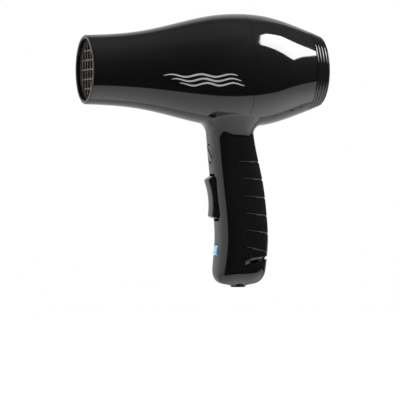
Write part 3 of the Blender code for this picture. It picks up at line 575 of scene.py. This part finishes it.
def fillet_curves(phis):
    """The closed curves where the neck's fillet meets the barrel and the handle."""
    out = outward(phis)
    level = np.full(len(phis), 106.0)
    side = np.sin(phis) ** 2
    reach = FILLET + SIDE_FILLET * side
    for _ in range(4):
        x, y = handle_point(level, phis)
        hx, hy = x + out[:, 0] * reach, y + out[:, 1] * reach
        hz = barrel_bottom(hx, hy)
        low = GRIP_TOP + 0.7
        level = np.maximum(barrel_bottom(x, y) - FILLET, low) * (1 - side) + low * side
    return np.stack([hx, hy, hz], 1), np.stack([x, y, level], 1)


def handle_rows():
    """Heights of the handle's rows, close together at every groove and at the ends of the grip."""
    rows = [(GRIP_TOP + 0.35, 0.45), (GRIP_TOP + 0.35, 1.0)]
    levels = {GRIP_TOP + 0.2, GRIP_TOP, GRIP_TOP - 0.2, GRIP_TOP - 0.5}
    for z, _ in GROOVES:
        levels |= {round(z + offset, 3) for offset in (-0.7, -0.3, -0.1, 0.0, 0.3, 0.6, 0.9, 1.0, 1.3, 1.8)}
    for offset in (-0.9, -0.5, -0.2, -0.06, 0.06, 0.4, 1.0, 1.8, 2.6, 3.2, 3.6, 3.9, 4.2, 4.8):
        levels.add(GRIP_BOTTOM + offset)
    fixed = sorted(levels)
    for low, high in zip([DOME_TOP, *fixed], [*fixed, GRIP_TOP]):
        gap = high - low
        if gap > 1.6:
            levels |= {low + gap * k / math.ceil(gap / 1.4) for k in range(1, math.ceil(gap / 1.4))}
    levels.add(DOME_TOP)
    return rows + [(z, None) for z in sorted(levels, reverse=True) if z >= DOME_TOP]


def handle_surface(level, phis):
    """The handle's surface with the grip's grooves, each sloping in above its line, and the notch below it."""
    x, y = handle_point(level, phis)
    ahead = centre(level) - x
    back = np.clip(-ahead, 0, None)
    z = level - groove_tilt(level) * lean(back)
    x, y = handle_point(z, phis)
    out = outward(phis)
    inset = np.zeros_like(z)
    for groove, _ in GROOVES:
        above = level - groove
        inset += GROOVE_DEPTH * np.clip(1 - above / GROOVE_HEIGHT, 0, 1) * smoothstep(-0.1, 0.0, above)
    inset *= 1 - smoothstep(0.0, 1.0, ahead)
    above = level - GRIP_BOTTOM
    ledge = np.clip(1 - above / LEDGE_HEIGHT, 0, 1)
    inset += LEDGE_DEPTH * ledge * smoothstep(-0.1, 0.02, above) * smoothstep(0.0, 0.9, back)
    shift = -inset
    return np.stack([x + out[:, 0] * shift, y + out[:, 1] * shift, z], 1)


def dome_rings(phis):
    """Rings of the handle's rounded end, which close in on the round seat of the cord gland."""
    rings = []
    height = DOME_TOP - DOME_BOTTOM
    seat = 5.35
    for drop in (0.08, 0.17, 0.27, 0.37, 0.47, 0.57, 0.66, 0.74, 0.81, 0.87, 0.92, 0.955, 0.98, 0.995):
        z = DOME_TOP - height * drop
        x, y = handle_point(z, phis)
        scale = (1 - drop**DOME_FULLNESS) ** (1 / DOME_FULLNESS)
        to_round = smoothstep(0.75, 0.995, drop)
        cx = float(centre(z)) * (1 - to_round) + GLAND_X * to_round
        x = cx + (x - centre(z)) * scale
        y = y * scale
        ring = np.stack([x, y, np.full(len(phis), z)], 1)
        angle = np.arctan2(y, x - cx)
        round_ring = np.stack([cx + seat * np.cos(angle), seat * np.sin(angle), np.full(len(phis), z)], 1)
        rings.append(ring * (1 - to_round**3) + round_ring * to_round**3)
    return rings


def split_skin():
    """The outer sheet cut along its parting lines into front shell, rear shell and grip."""
    verts, faces, regions = skin()
    bm = bmesh.new()
    made = [bm.verts.new(Vector(v) * MM) for v in verts]
    layer = bm.faces.layers.int.new("region")
    names = ("barrel", "neck", "handle", "dome")
    for face, region in zip(faces, regions):
        f = bm.faces.new([made[i] for i in face])
        f[layer] = names.index(region)
    bmesh.ops.recalc_face_normals(bm, faces=bm.faces)
    highest = max(bm.faces, key=lambda f: f.calc_center_median().z)
    if highest.normal.z < 0:
        bmesh.ops.reverse_faces(bm, faces=bm.faces)

    def bisect(point, normal, keep):
        chosen = [f for f in bm.faces if keep(f)]
        geometry = [*chosen, *{v for f in chosen for v in f.verts}, *{e for f in chosen for e in f.edges}]
        bmesh.ops.bisect_plane(bm, geom=geometry, plane_co=Vector(point) * MM, plane_no=normal, dist=1e-7)

    def is_barrel(f):
        return f[layer] == 0

    for offset in (-GAP / 2, GAP / 2):
        bisect((SEAM_X + offset, 0, 0), (1, 0, 0), is_barrel)
    slant = (TONGUE_REAR - TONGUE_FRONT) / (90 - SEAM_X)

    def low_rear(f):
        c = f.calc_center_median() / MM
        return is_barrel(f) and c.x > SEAM_X - GAP / 2 and c.z < TONGUE_TOP

    for side in (-1, 1):
        for offset in (-GAP / 2, GAP / 2):
            bisect((SEAM_X, side * (TONGUE_FRONT + offset), 0), (-slant * side, side, 0), low_rear)
    bmesh.ops.remove_doubles(bm, verts=bm.verts, dist=0.03 * MM)
    bmesh.ops.dissolve_degenerate(bm, edges=bm.edges, dist=1e-7)
    part = {}
    for f in bm.faces:
        c = f.calc_center_median() / MM
        if is_barrel(f):
            depth = SEAM_X - c.x
            if c.z < TONGUE_TOP:
                depth = max(depth, TONGUE_FRONT + slant * (c.x - SEAM_X) - abs(c.y))
            part[f] = "gap" if abs(depth) < GAP / 2 else "front" if depth > 0 else "rear"
        elif f[layer] == 2:
            back = c.x > float(centre(c.z))
            part[f] = "grip" if back and GRIP_BOTTOM - 0.05 < row_level(c) < GRIP_TOP + 0.05 else "front"
        else:
            part[f] = "front"
    sheets = {}
    for name in ("front", "rear", "grip"):
        copy = bmesh.new()
        index = {}
        for f, which in part.items():
            if which != name:
                continue
            for v in f.verts:
                if v not in index:
                    index[v] = copy.verts.new(v.co)
            copy.faces.new([index[v] for v in f.verts])
        sheets[name] = copy
    bm.free()
    return sheets


def row_level(point):
    """The row height, before the grooves' tilt, of a point on the back of the handle."""
    level = point.z
    for _ in range(12):
        back = max(0.0, point.x - float(centre(point.z)))
        level = point.z + float(groove_tilt(level)) * lean(back)
    return level


def shell_from(sheet, name, thickness, body, replaced, slot):
    """A wall of the given thickness behind a sheet, which thins out towards the outlet's lip."""
    mesh = bpy.data.meshes.new(name)
    sheet.to_mesh(mesh)
    sheet.free()
    obj = add_object(name, mesh, SHELL, None)
    group = obj.vertex_groups.new(name="thickness")
    for v in mesh.vertices:
        x, radius = v.co.x / MM, math.hypot(v.co.y, v.co.z - AXIS_Z * MM) / MM
        near_lip = x < -78.9 and radius < 23.9
        fade = 0.05 if near_lip or x < -85.2 else float(0.05 + 0.95 * smoothstep(-85.2, -80.0, x))
        group.add([v.index], fade, "REPLACE")
    solidify = obj.modifiers.new("wall", "SOLIDIFY")
    solidify.thickness = thickness * MM
    solidify.offset = -1.0
    solidify.vertex_group = "thickness"
    apply_modifiers(obj)
    return obj, body, replaced, slot


def finish_piece(obj, body, replaced=(), slot=None):
    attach(obj, body)
    if replaced:
        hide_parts(*replaced)
    return obj


def make_shells():
    sheets = split_skin()
    front, *rest = shell_from(
        sheets["front"], "front_shell", FRONT_WALL, "housing", ["front_housing"], "gloss_black"
    )
    rocker_window = rounded_rectangle(6.0, 16.7, 0.9)
    cutters = [
        prism("rocker_window", rocker_window, -7, 6, SHELL, "X", front_frame(ROCKER_Z)),
        lathe("dial_hole", [(-5, 7.0), (6, 7.0)], SHELL, 64, front_frame(DIAL_Z)),
        prism("cool_window", rounded_rectangle(3.2, 4.1, 1.1), -4, 6, SHELL, "X", front_frame(COOL_Z)),
    ]
    cut(front, *cutters)
    finish_piece(smooth(front, 28), *rest)
    rear, *rest = shell_from(
        sheets["rear"], "rear_shell", REAR_WALL, "housing", ["rear_housing"], "gloss_black",
    )
    finish_piece(smooth(rear, 28), *rest)
    for z in SCREW_Z:
        open_hole(sheets["grip"], z, SCREW_HOLE)
    grip, *rest = shell_from(
        sheets["grip"], "grip_shell", GRIP_WALL, "housing", ["handle_back"], "gloss_black",
    )
    finish_piece(smooth(grip, 28), *rest)
    for k, z in enumerate(SCREW_Z):
        start, end = float(centre(z)) + 2.6, float(centre(z) + half_depth(z)) - 0.9
        outline = [
            (start, SCREW_HOLE), (end, SCREW_HOLE), (end, SCREW_HOLE + 1.4), (start, SCREW_HOLE + 1.2)
        ]
        finish_piece(
            revolved(f"screw_tube_{k + 1}", outline, SATIN, 40, None, (0.0, z)), "housing", (),
            "black_plastic",
        )


def open_hole(sheet, z, radius):
    """Opens a round hole through the back of the grip's sheet."""
    def away(co):
        return math.hypot(co.y, co.z - z * MM) / MM

    behind = [f for f in sheet.faces if f.calc_center_median().x > float(centre(z)) * MM]
    near = [f for f in behind if away(f.calc_center_median()) < radius + 2.2]
    edges = list({e for f in near for e in f.edges})
    bmesh.ops.subdivide_edges(sheet, edges=edges, cuts=3, use_grid_fill=True)
    behind = [f for f in sheet.faces if f.calc_center_median().x > float(centre(z)) * MM]
    inner = [f for f in behind if away(f.calc_center_median()) < radius]
    bmesh.ops.delete(sheet, geom=inner, context="FACES")
    for edge in sheet.edges:
        if not edge.is_boundary:
            continue
        for v in edge.verts:
            distance = away(v.co)
            if distance < radius + 1.2 and v.co.x > float(centre(z)) * MM:
                v.co.y *= radius / distance
                v.co.z = z * MM + (v.co.z - z * MM) * radius / distance


# ---------------------------------------------------------------- rear cap, outlet and heater
def ridge_outline():
    """Closed outline of the rear cap: four rounded ridges on a taper, a soft rim and an open inside."""
    start = CAP_X + 0.25
    count = 4
    end = REAR_X - 1.1
    pitch = (end - start) / count
    outline = [(69.0, 25.7), (start, 25.7)]
    steps = 12
    for k in range(count):
        for s in range(steps):
            t = s / steps
            x = start + (k + t) * pitch
            groove = 0.7 * (1 - math.sin(math.pi * t) ** 0.7)
            outline.append((x, float(barrel_radius(x)) - groove))
    outline += [(end, float(barrel_radius(end)) - 0.5), (end + 0.35, float(barrel_radius(end)) - 0.25)]
    for t in np.linspace(0, math.pi / 2, 6):
        outline.append((REAR_X - 0.7 + 0.7 * math.sin(t), 23.7 + 0.7 * math.cos(t)))
    outline += [(REAR_X, 22.0), (REAR_X - 0.25, 21.5), (REAR_X - 0.8, 21.3), (84.0, 21.3), (84.0, 22.2)]
    outline += [(79.5, 22.2), (79.5, 23.6), (69.0, 24.4)]
    return outline


def rear_cap():
    ring = revolved("rear_cap_ring", ridge_outline(), SHELL, 160, angle=40)
    finish_piece(ring, "filter_cap", ["cap_ring"], "gloss_black")
    bars = []
    for k, radius in enumerate((4.3, 8.6, 12.9, 17.2, 21.3)):
        outline = []
        for t in np.linspace(0, 2 * math.pi, 13)[:-1]:
            outline.append((82.9 + 0.8 * math.cos(t), radius + 0.6 * math.sin(t)))
        bars.append(revolved(f"inlet_ring_{k}", outline, SATIN, 96, angle=60))
    outline = [(82.1, 1.5), (82.1, 3.2), (82.6, 3.6), (83.3, 3.6), (83.7, 3.1), (83.7, 1.0)]
    hub = lathe("inlet_hub", outline, SATIN, 48, None, (0.0, AXIS_Z))
    for k in range(12):
        turn = 2 * math.pi * k / 12
        inner = 3.0 if k % 2 == 0 else 8.6
        points = [
            (82.9, r * math.sin(turn), AXIS_Z + r * math.cos(turn)) for r in np.linspace(inner, 21.6, 8)
        ]
        bars.append(wire(f"inlet_spoke_{k}", points, 0.62, SATIN, 10))
    grille = join("inlet_grille_bars", [hub, *bars])
    finish_piece(grille, "filter_cap", ["inlet_grille"], "black_plastic")
    woven_screen()


def join(name, objects):
    """Joins objects into one mesh in the first one's material."""
    bm = bmesh.new()
    for obj in objects:
        mesh = obj.data.copy()
        mesh.transform(obj.matrix_world)
        bm.from_mesh(mesh)
    mesh = bpy.data.meshes.new(name)
    bm.to_mesh(mesh)
    bm.free()
    material = objects[0].data.materials[0]
    for obj in objects:
        bpy.data.objects.remove(obj)
    return add_object(name, mesh, material, 40)


def woven_screen():
    """Filter screen of fine wires that pass over and under each other, held in a flat rim."""
    pitch, radius, thin = 1.35, 21.3, 0.16
    count = int(radius / pitch)
    strands = []
    for k in range(-count, count + 1):
        offset = k * pitch
        reach = math.sqrt(max(radius**2 - offset**2, 0.0))
        if reach < 2:
            continue
        steps = max(6, int(reach * 2 / pitch) * 2)
        for across in (False, True):
            points = []
            for s in np.linspace(-reach, reach, steps):
                wave = 0.13 * math.cos(math.pi * s / pitch) * (1 if (k + across) % 2 else -1)
                y, z = (s, offset) if across else (offset, s)
                points.append((80.9 + wave, y, AXIS_Z + z))
            strands.append(wire(f"strand_{k}_{across}", points, thin, LATTICE, 4))
    rim = revolved("screen_rim", [(80.6, 21.9), (81.25, 21.9), (81.25, 20.9), (80.6, 20.9)], LATTICE, 96)
    screen = join("filter_mesh", [rim, *strands])
    finish_piece(screen, "filter_cap", ["filter_screen"], "grille_metal")


def outlet():
    low = float(box_mm("outlet_grille")[0][0])
    pitch, half, depth = 6.6, 0.5, 1.7
    bars = []
    for k in range(-2, 3):
        offset = k * pitch
        reach = math.sqrt(17.2**2 - offset**2)
        ends = rounded_rectangle(half, reach, 0.3, 3)
        for across in (False, True):
            outline = [((a + offset, b) if not across else (b, a + offset)) for a, b in ends]
            outline = [(a, AXIS_Z + b) for a, b in outline]
            lift = 0.12 if across else 0.0
            bars.append(
                bevel(prism(f"bar_{k}_{across}", outline, low + lift, low + depth, LATTICE, "X"), 0.16, 2)
            )
    for bar in bars:
        apply_modifiers(bar)
    ring = revolved(
        "lattice_ring", [(low + 0.7, 17.15), (low + 1.6, 17.15), (low + 1.6, 16.6), (low + 0.7, 16.6)],
        LATTICE, 96,
    )
    lattice = join("outlet_lattice", [*bars, ring])
    finish_piece(lattice, "housing", ["outlet_grille"], "grille_metal")
    x0, x1 = (v / MM for v in (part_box("grille_frame")[0].x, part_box("grille_frame")[1].x))
    outline = [
        (x0 + 0.5, 21.3), (x1, 21.3), (x1, 17.35), (x0 + 0.9, 17.35), (x0 + 0.45, 17.7), (x0 + 0.2, 18.6)
    ]
    outline += [(x0 + 0.2, 20.2), (x0 + 0.35, 21.0)]
    holder = revolved("outlet_frame", outline, MATT, 128)
    finish_piece(holder, "housing", ["grille_frame"], "black_plastic")


def heater():
    """Tightly coiled resistance wire wound round the notched mica boards."""
    start = float(box_mm("heater_coil")[0][0]) + 0.5
    turns = 9
    pitch = 5.0
    reach = 16.7
    corners = []
    for k in range(turns * 4 - 3):
        turn = math.radians(90 * (k % 4))
        corners.append(
            (start + (k // 4) * pitch, reach * math.sin(turn), AXIS_Z + reach * math.cos(turn))
        )
    corners = np.array(corners)
    path = []
    per_side = 60
    for a, b in zip(corners, corners[1:]):
        run = b - a
        length = np.linalg.norm(run)
        run = run / length
        side = np.cross(run, (1.0, 0.0, 0.0))
        side /= np.linalg.norm(side)
        other = np.cross(run, side)
        for s in range(per_side):
            t = s / per_side
            turn = 2 * math.pi * t * 15
            hold = min(1.0, min(t, 1 - t) * 12)
            path.append(
                a + run * length * t + hold * 0.62 * (side * math.cos(turn) + other * math.sin(turn))
            )
    coil = wire("heater_winding", path, 0.2, NICHROME, 4)
    finish_piece(coil, "housing", ["heater_coil"], "nichrome")


# ---------------------------------------------------------------- controls
def rocker():
    frame_here = front_frame(ROCKER_Z)
    pivot, radius, waist = 5.4, 16.2, -2.9
    ends = [math.radians(a) for a in (52.0, 57, 62, 67, 72, 77)]
    ends = [(pivot - radius * math.cos(a), radius * math.sin(a)) for a in ends]
    outline = [(x, -v) for x, v in reversed(ends)]
    for v in np.linspace(-11.2, 11.2, 15):
        outline.append((waist + (ends[0][0] - waist) * abs(v / ends[0][1]) ** 2.0, v))
    outline += ends
    outline += [(pivot - 1.0, 12.0), (pivot + 2.0, 3.0), (pivot + 2.0, -3.0), (pivot - 1.0, -12.0)]
    button = prism("rocker", outline, -5.5, 5.5, SHELL, "Y", frame_here)
    bevel(button, 0.95, 5, 40)
    apply_modifiers(button)
    finish_piece(smooth(button, 40), "rocker", ["rocker_button"], "gloss_black")


def dial():
    frame_here = front_frame(DIAL_Z)
    outline = [(9.0, 2.0), (3.4, 2.0), (3.4, 6.55), (0.9, 6.55), (0.45, 6.35), (0.25, 5.9), (0.25, 0.5)]
    knob = lathe("selector_dial", outline, SHELL, 64, frame_here)
    tilt = frame_here @ Matrix.Rotation(math.radians(45), 4, "X")
    slot = prism("dial_slot", rounded_rectangle(5.3, 0.85, 0.8), -1.0, 1.7, SHELL, "X", tilt)
    cut(knob, slot)
    finish_piece(smooth(knob, 30), "dial", ["voltage_dial"], "gloss_black")


def cool_button():
    frame_here = front_frame(COOL_Z)
    outline = [
        (-0.1, 3.55), (-0.5, 3.1), (-0.8, 1.4), (-1.2, -0.8), (-1.4, -2.3), (-1.2, -3.2), (-0.6, -3.65)
    ]
    outline += [(3.0, -3.65), (3.0, 3.55)]
    cap = prism("cap", outline, -2.7, 2.7, BLUE, "Y", frame_here)
    bevel(cap, 0.6, 4, 30)
    apply_modifiers(cap)
    flange = prism("flange", rounded_rectangle(5.3, 4.7, 1.0), 2.9, 4.0, BLUE, "X", frame_here)
    stem = lathe("stem", [(3.8, 1.7), (9.0, 1.7), (9.2, 1.5)], BLUE, 24, frame_here)
    button = join("cool_shot_cap", [cap, flange, stem])
    finish_piece(button, "cool_shot", ["cool_shot_button"], "blue_plastic")
    coil = []
    for k in range(97):
        turn = 2 * math.pi * k / 24
        point = Vector((4.5 + 3.5 * k / 96, 2.7 * math.cos(turn), 2.7 * math.sin(turn))) * MM
        coil.append(tuple(frame_here @ point / MM))
    spring = wire("cool_shot_coil", coil, 0.28, STEEL, 8)
    finish_piece(spring, "housing", ["cool_shot_spring"], "steel")
    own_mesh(spring)


def gland():
    outline = [
        (0.0, 3.5), (0.0, 4.6), (0.2, 4.95), (0.5, 5.1), (2.1, 5.1), (2.1, 4.0), (5.7, 4.0), (5.7, 4.8)
    ]
    outline += [(7.1, 4.5), (7.1, 3.4), (0.3, 3.4)]
    stand = Matrix.Translation(Vector((GLAND_X, 0, 0)) * MM) @ Matrix.Rotation(math.radians(-90), 4, "Y")
    ring = revolved("gland_ring", outline, RUBBER, 64, stand, (0.0, 0.0), 40)
    finish_piece(ring, "housing", ["cord_gland"], "black_rubber")


def surface_strip(name, path, widths, material, lift=0.03):
    """A thin strip that lies on the near side of the barrel along a path of (x, z)."""
    path = np.array(path, float)
    run = np.gradient(path, axis=0)
    run /= np.linalg.norm(run, axis=1)[:, None]
    square = np.stack([-run[:, 1], run[:, 0]], 1)
    points = []
    for share in np.linspace(-1, 1, 5):
        for (x, z), (sx, sz), w in zip(path, square, widths):
            px, pz = x + sx * w * share / 2, z + sz * w * share / 2
            r = float(barrel_radius(px)) + lift
            points.append((px, -math.sqrt(r**2 - (pz - AXIS_Z) ** 2), pz))
    faces = grid_faces(5, len(path), wrap_columns=False)
    return mesh_object(name, points, faces, material, angle=None)


def mark():
    """A plain printed motif of flowing lines in place of lettering."""
    strips = []
    for k, z in enumerate((147.2, 144.2, 141.2)):
        s = np.linspace(0, 1, 90)
        start, end = -37.0 + 5.5 * k, 13.0 + 5.5 * k * 0.5
        x = start + (end - start) * s
        height = z + 0.9 * np.sin(2 * math.pi * 2.5 * s + 0.7 * k)
        widths = 1.3 * np.sin(math.pi * np.clip(s * 0.96 + 0.02, 0, 1)) ** 0.45
        strips.append(surface_strip(f"mark_line_{k}", np.stack([x, height], 1), widths, MARK))
    printed = join("flow_mark", strips)
    finish_piece(printed, "housing", (), "grey_plastic")


def dress_cad():
    """Finishes for the CAD parts that keep their own shape."""
    looks = {
        "mica_board_upright": MICA, "mica_board_flat": MICA, "heat_shield": MICA, "thermostat_base": GREY,
        "thermostat_blade": BRASS, "thermal_fuse": STEEL, "fan_duct": SATIN, "duct_screw_1": STEEL,
        "duct_screw_2": STEEL, "duct_screw_3": STEEL, "motor_can": STEEL, "motor_end_bell": SATIN,
        "bearing_front": BRASS, "bearing_rear": BRASS, "magnet_upper": FERRITE, "magnet_lower": FERRITE,
        "motor_shaft": STEEL, "armature": COPPER, "commutator": COPPER, "rectifier_board": BOARD,
        "diode_1": SATIN, "diode_2": SATIN, "diode_3": SATIN, "diode_4": SATIN, "impeller": SATIN,
        "rocker_pin": STEEL, "rocker_switch_body": GREY, "switch_terminal_1": BRASS, "switch_terminal_2": BRASS,
        "switch_terminal_3": BRASS, "selector_body": GREY, "cool_shot_switch": GREY, "handle_screw_1": STEEL,
        "handle_screw_2": STEEL, "cord_clamp": SATIN, "clamp_screw_1": STEEL, "clamp_screw_2": STEEL,
        "suppression_capacitor": GREY, "neutral_lead": WHITE, "live_lead": RED,
    }
    for name, material in looks.items():
        obj = nodes[name]
        obj.data.materials.clear()
        obj.data.materials.append(material)


# ---------------------------------------------------------------- camera, floor and light
CAMERA_AZIMUTH, CAMERA_ELEVATION, CAMERA_ROLL = -17.4, 0.45, -0.24
CAMERA_DISTANCE = 2.1
CAMERA_TARGET = (-0.0024, 0.0, 0.0613)


def camera():
    azimuth, elevation = math.radians(CAMERA_AZIMUTH), math.radians(CAMERA_ELEVATION)
    back = Vector((
        math.sin(azimuth) * math.cos(elevation),
        -math.cos(azimuth) * math.cos(elevation),
        math.sin(elevation),
    ))
    data = bpy.data.cameras.new("camera")
    data.sensor_width = 36.0
    data.lens = 270.0
    obj = bpy.data.objects.new("camera", data)
    bpy.context.scene.collection.objects.link(obj)
    obj.location = Vector(CAMERA_TARGET) + back * CAMERA_DISTANCE
    roll = Matrix.Rotation(math.radians(CAMERA_ROLL), 3, back)
    obj.rotation_euler = (roll @ back.to_track_quat("Z", "Y").to_matrix()).to_euler()
    bpy.context.scene.camera = obj


def floor():
    size = 6.0
    mesh = bpy.data.meshes.new("floor")
    mesh.from_pydata(
        [(-size, -size, -0.3), (size, -size, -0.3), (size, size, -0.3), (-size, size, -0.3)], [],
        [(0, 1, 2, 3)],
    )
    paper = moulded("white_paper", (0.85, 0.85, 0.85), 0.9, variation=0.01)
    obj = add_object("floor", mesh, paper, None)
    obj.visible_glossy = False


class Maths:
    """Short names for the maths nodes of one node tree."""

    def __init__(self, tree):
        self.tree = tree

    def op(self, kind, a, b=None, clamp=False):
        node = self.tree.nodes.new("ShaderNodeMath")
        node.operation = kind
        node.use_clamp = clamp
        for socket, value in zip(node.inputs, (a, b)):
            if value is None:
                continue
            if isinstance(value, (int, float)):
                socket.default_value = value
            else:
                self.tree.links.new(value, socket)
        return node.outputs[0]

    def step(self, low, high, value):
        """Rises smoothly from 0 at low to 1 at high."""
        node = self.tree.nodes.new("ShaderNodeMapRange")
        node.interpolation_type = "SMOOTHSTEP"
        node.inputs["From Min"].default_value = low
        node.inputs["From Max"].default_value = high
        self.tree.links.new(value, node.inputs["Value"])
        return node.outputs["Result"]

    def dot(self, vector, direction):
        node = self.tree.nodes.new("ShaderNodeVectorMath")
        node.operation = "DOT_PRODUCT"
        self.tree.links.new(vector, node.inputs[0])
        node.inputs[1].default_value = direction
        return node.outputs["Value"]

    def product(self, *values):
        total = values[0]
        for value in values[1:]:
            total = self.op("MULTIPLY", total, value)
        return total

    def total(self, *values):
        total = values[0]
        for value in values[1:]:
            total = self.op("ADD", total, value)
        return total


def direction(azimuth, elevation):
    """Unit vector; azimuth 0 points to the front (-Y) and 90 to the right (+X)."""
    a, e = math.radians(azimuth), math.radians(elevation)
    return Vector((math.sin(a) * math.cos(e), -math.cos(a) * math.cos(e), math.sin(e)))


def studio():
    """Studio surroundings: pale table and backdrop, dark room in front, one softbox up to the right."""
    world = bpy.data.worlds.new("studio")
    world.use_nodes = True
    bpy.context.scene.world = world
    tree = world.node_tree
    m = Maths(tree)
    place = tree.nodes.new("ShaderNodeTexCoord").outputs["Generated"]
    x, y, z = (m.dot(place, axis) for axis in ((1, 0, 0), (0, 1, 0), (0, 0, 1)))

    down = m.op("MAXIMUM", m.op("MULTIPLY", z, -1.0), 0.0001)
    table_x = m.op("DIVIDE", x, down)
    table_y = m.op("DIVIDE", y, down)
    front_edge = m.total(table_y, m.op("MULTIPLY", table_x, 0.17), 0.66)
    soft = 0.035
    on_table = m.product(
        m.step(-soft, soft, front_edge),
        m.step(-soft, soft, m.op("SUBTRACT", 0.49, table_y)),
        m.step(-0.1, 0.1, m.op("SUBTRACT", 2.6, table_x)),
        m.step(0.0, 0.03, m.op("MULTIPLY", z, -1.0)),
    )
    pool_x = m.op("POWER", m.op("ABSOLUTE", m.op("SUBTRACT", table_x, 0.85)), 2.0)
    pool_y = m.op("POWER", m.op("ABSOLUTE", m.op("SUBTRACT", table_y, 0.05)), 2.0)
    pool = m.op("EXPONENT", m.op("MULTIPLY", m.total(pool_x, m.op("MULTIPLY", pool_y, 2.0)), -1.5))
    table_light = m.total(m.op("MULTIPLY", pool, 0.9), 1.17)

    rear = m.step(-0.03, 0.05, m.total(m.op("MULTIPLY", y, 0.616), m.op("MULTIPLY", x, -0.788)))
    low_rear = m.product(m.step(0.2, 0.4, y), m.step(0.02, -0.1, z))
    backdrop = m.op("MAXIMUM", rear, low_rear)
    backdrop = m.product(backdrop, m.step(0.84, 0.58, z))
    backdrop_light = m.total(m.op("MULTIPLY", m.step(0.3, 1.0, m.op("MULTIPLY", x, -1.0)), 0.7), 0.76)

    centre_line = direction(62, 45)
    halo = m.op("EXPONENT", m.op("MULTIPLY", m.op("SUBTRACT", m.dot(place, centre_line), 1.0), 3.7))
    room = m.total(
        m.op("MULTIPLY", m.step(0.3, 0.85, z), 0.06),
        m.op("MULTIPLY", m.step(0.82, 1.0, z), 0.14),
        m.op("MULTIPLY", halo, 0.26),
        0.065,
    )
    corners = [
        (35, 47.5), (38, 52.5), (61, 63.5), (76, 63), (86, 53.5), (82.5, 41.8), (77, 32.5), (54.5, 18)
    ]
    corners = [direction(a, e) for a, e in corners]
    softbox = None
    for a, b in zip(corners, corners[1:] + corners[:1]):
        inside = m.step(-0.012, 0.012, m.dot(place, b.cross(a).normalized()))
        softbox = inside if softbox is None else m.op("MULTIPLY", softbox, inside)

    off_table = m.op("SUBTRACT", 1.0, on_table)
    light = m.total(
        m.product(on_table, table_light),
        m.product(off_table, backdrop, backdrop_light),
        m.product(off_table, m.op("SUBTRACT", 1.0, backdrop), room),
        m.op("MULTIPLY", softbox, 21.0),
    )
    background = tree.nodes["Background"]
    background.inputs["Color"].default_value = (1.0, 0.985, 0.975, 1.0)
    tree.links.new(light, background.inputs["Strength"])
    plain = tree.nodes.new("ShaderNodeBackground")
    plain.inputs["Color"].default_value = (1.0, 1.0, 1.0, 1.0)
    ray = tree.nodes.new("ShaderNodeLightPath")
    mix = tree.nodes.new("ShaderNodeMixShader")
    tree.links.new(ray.outputs["Is Camera Ray"], mix.inputs["Fac"])
    tree.links.new(background.outputs["Background"], mix.inputs[1])
    tree.links.new(plain.outputs["Background"], mix.inputs[2])
    tree.links.new(mix.outputs["Shader"], tree.nodes["World Output"].inputs["Surface"])


def soft_light(name, place, size, power):
    """A large area light that brightens matt surfaces without showing in reflections."""
    data = bpy.data.lights.new(name, "AREA")
    data.size = size
    data.energy = power
    lamp = bpy.data.objects.new(name, data)
    bpy.context.scene.collection.objects.link(lamp)
    lamp.location = place
    lamp.rotation_euler = (Vector((0, 0, 0.08)) - Vector(place)).to_track_quat("-Z", "Y").to_euler()
    lamp.visible_glossy = False
    lamp.visible_camera = False


camera()
floor()
bpy.context.scene.view_settings.view_transform = "Standard"
studio()
soft_light("key_light", (0.9, -1.0, 1.5), 1.4, 22)
soft_light("fill_light", (-1.4, -0.8, 0.8), 1.6, 12)
soft_light("back_light", (0.4, 1.6, 1.0), 1.6, 14)
make_shells()
rear_cap()
outlet()
heater()
rocker()
dial()
cool_button()
gland()
mark()
dress_cad()
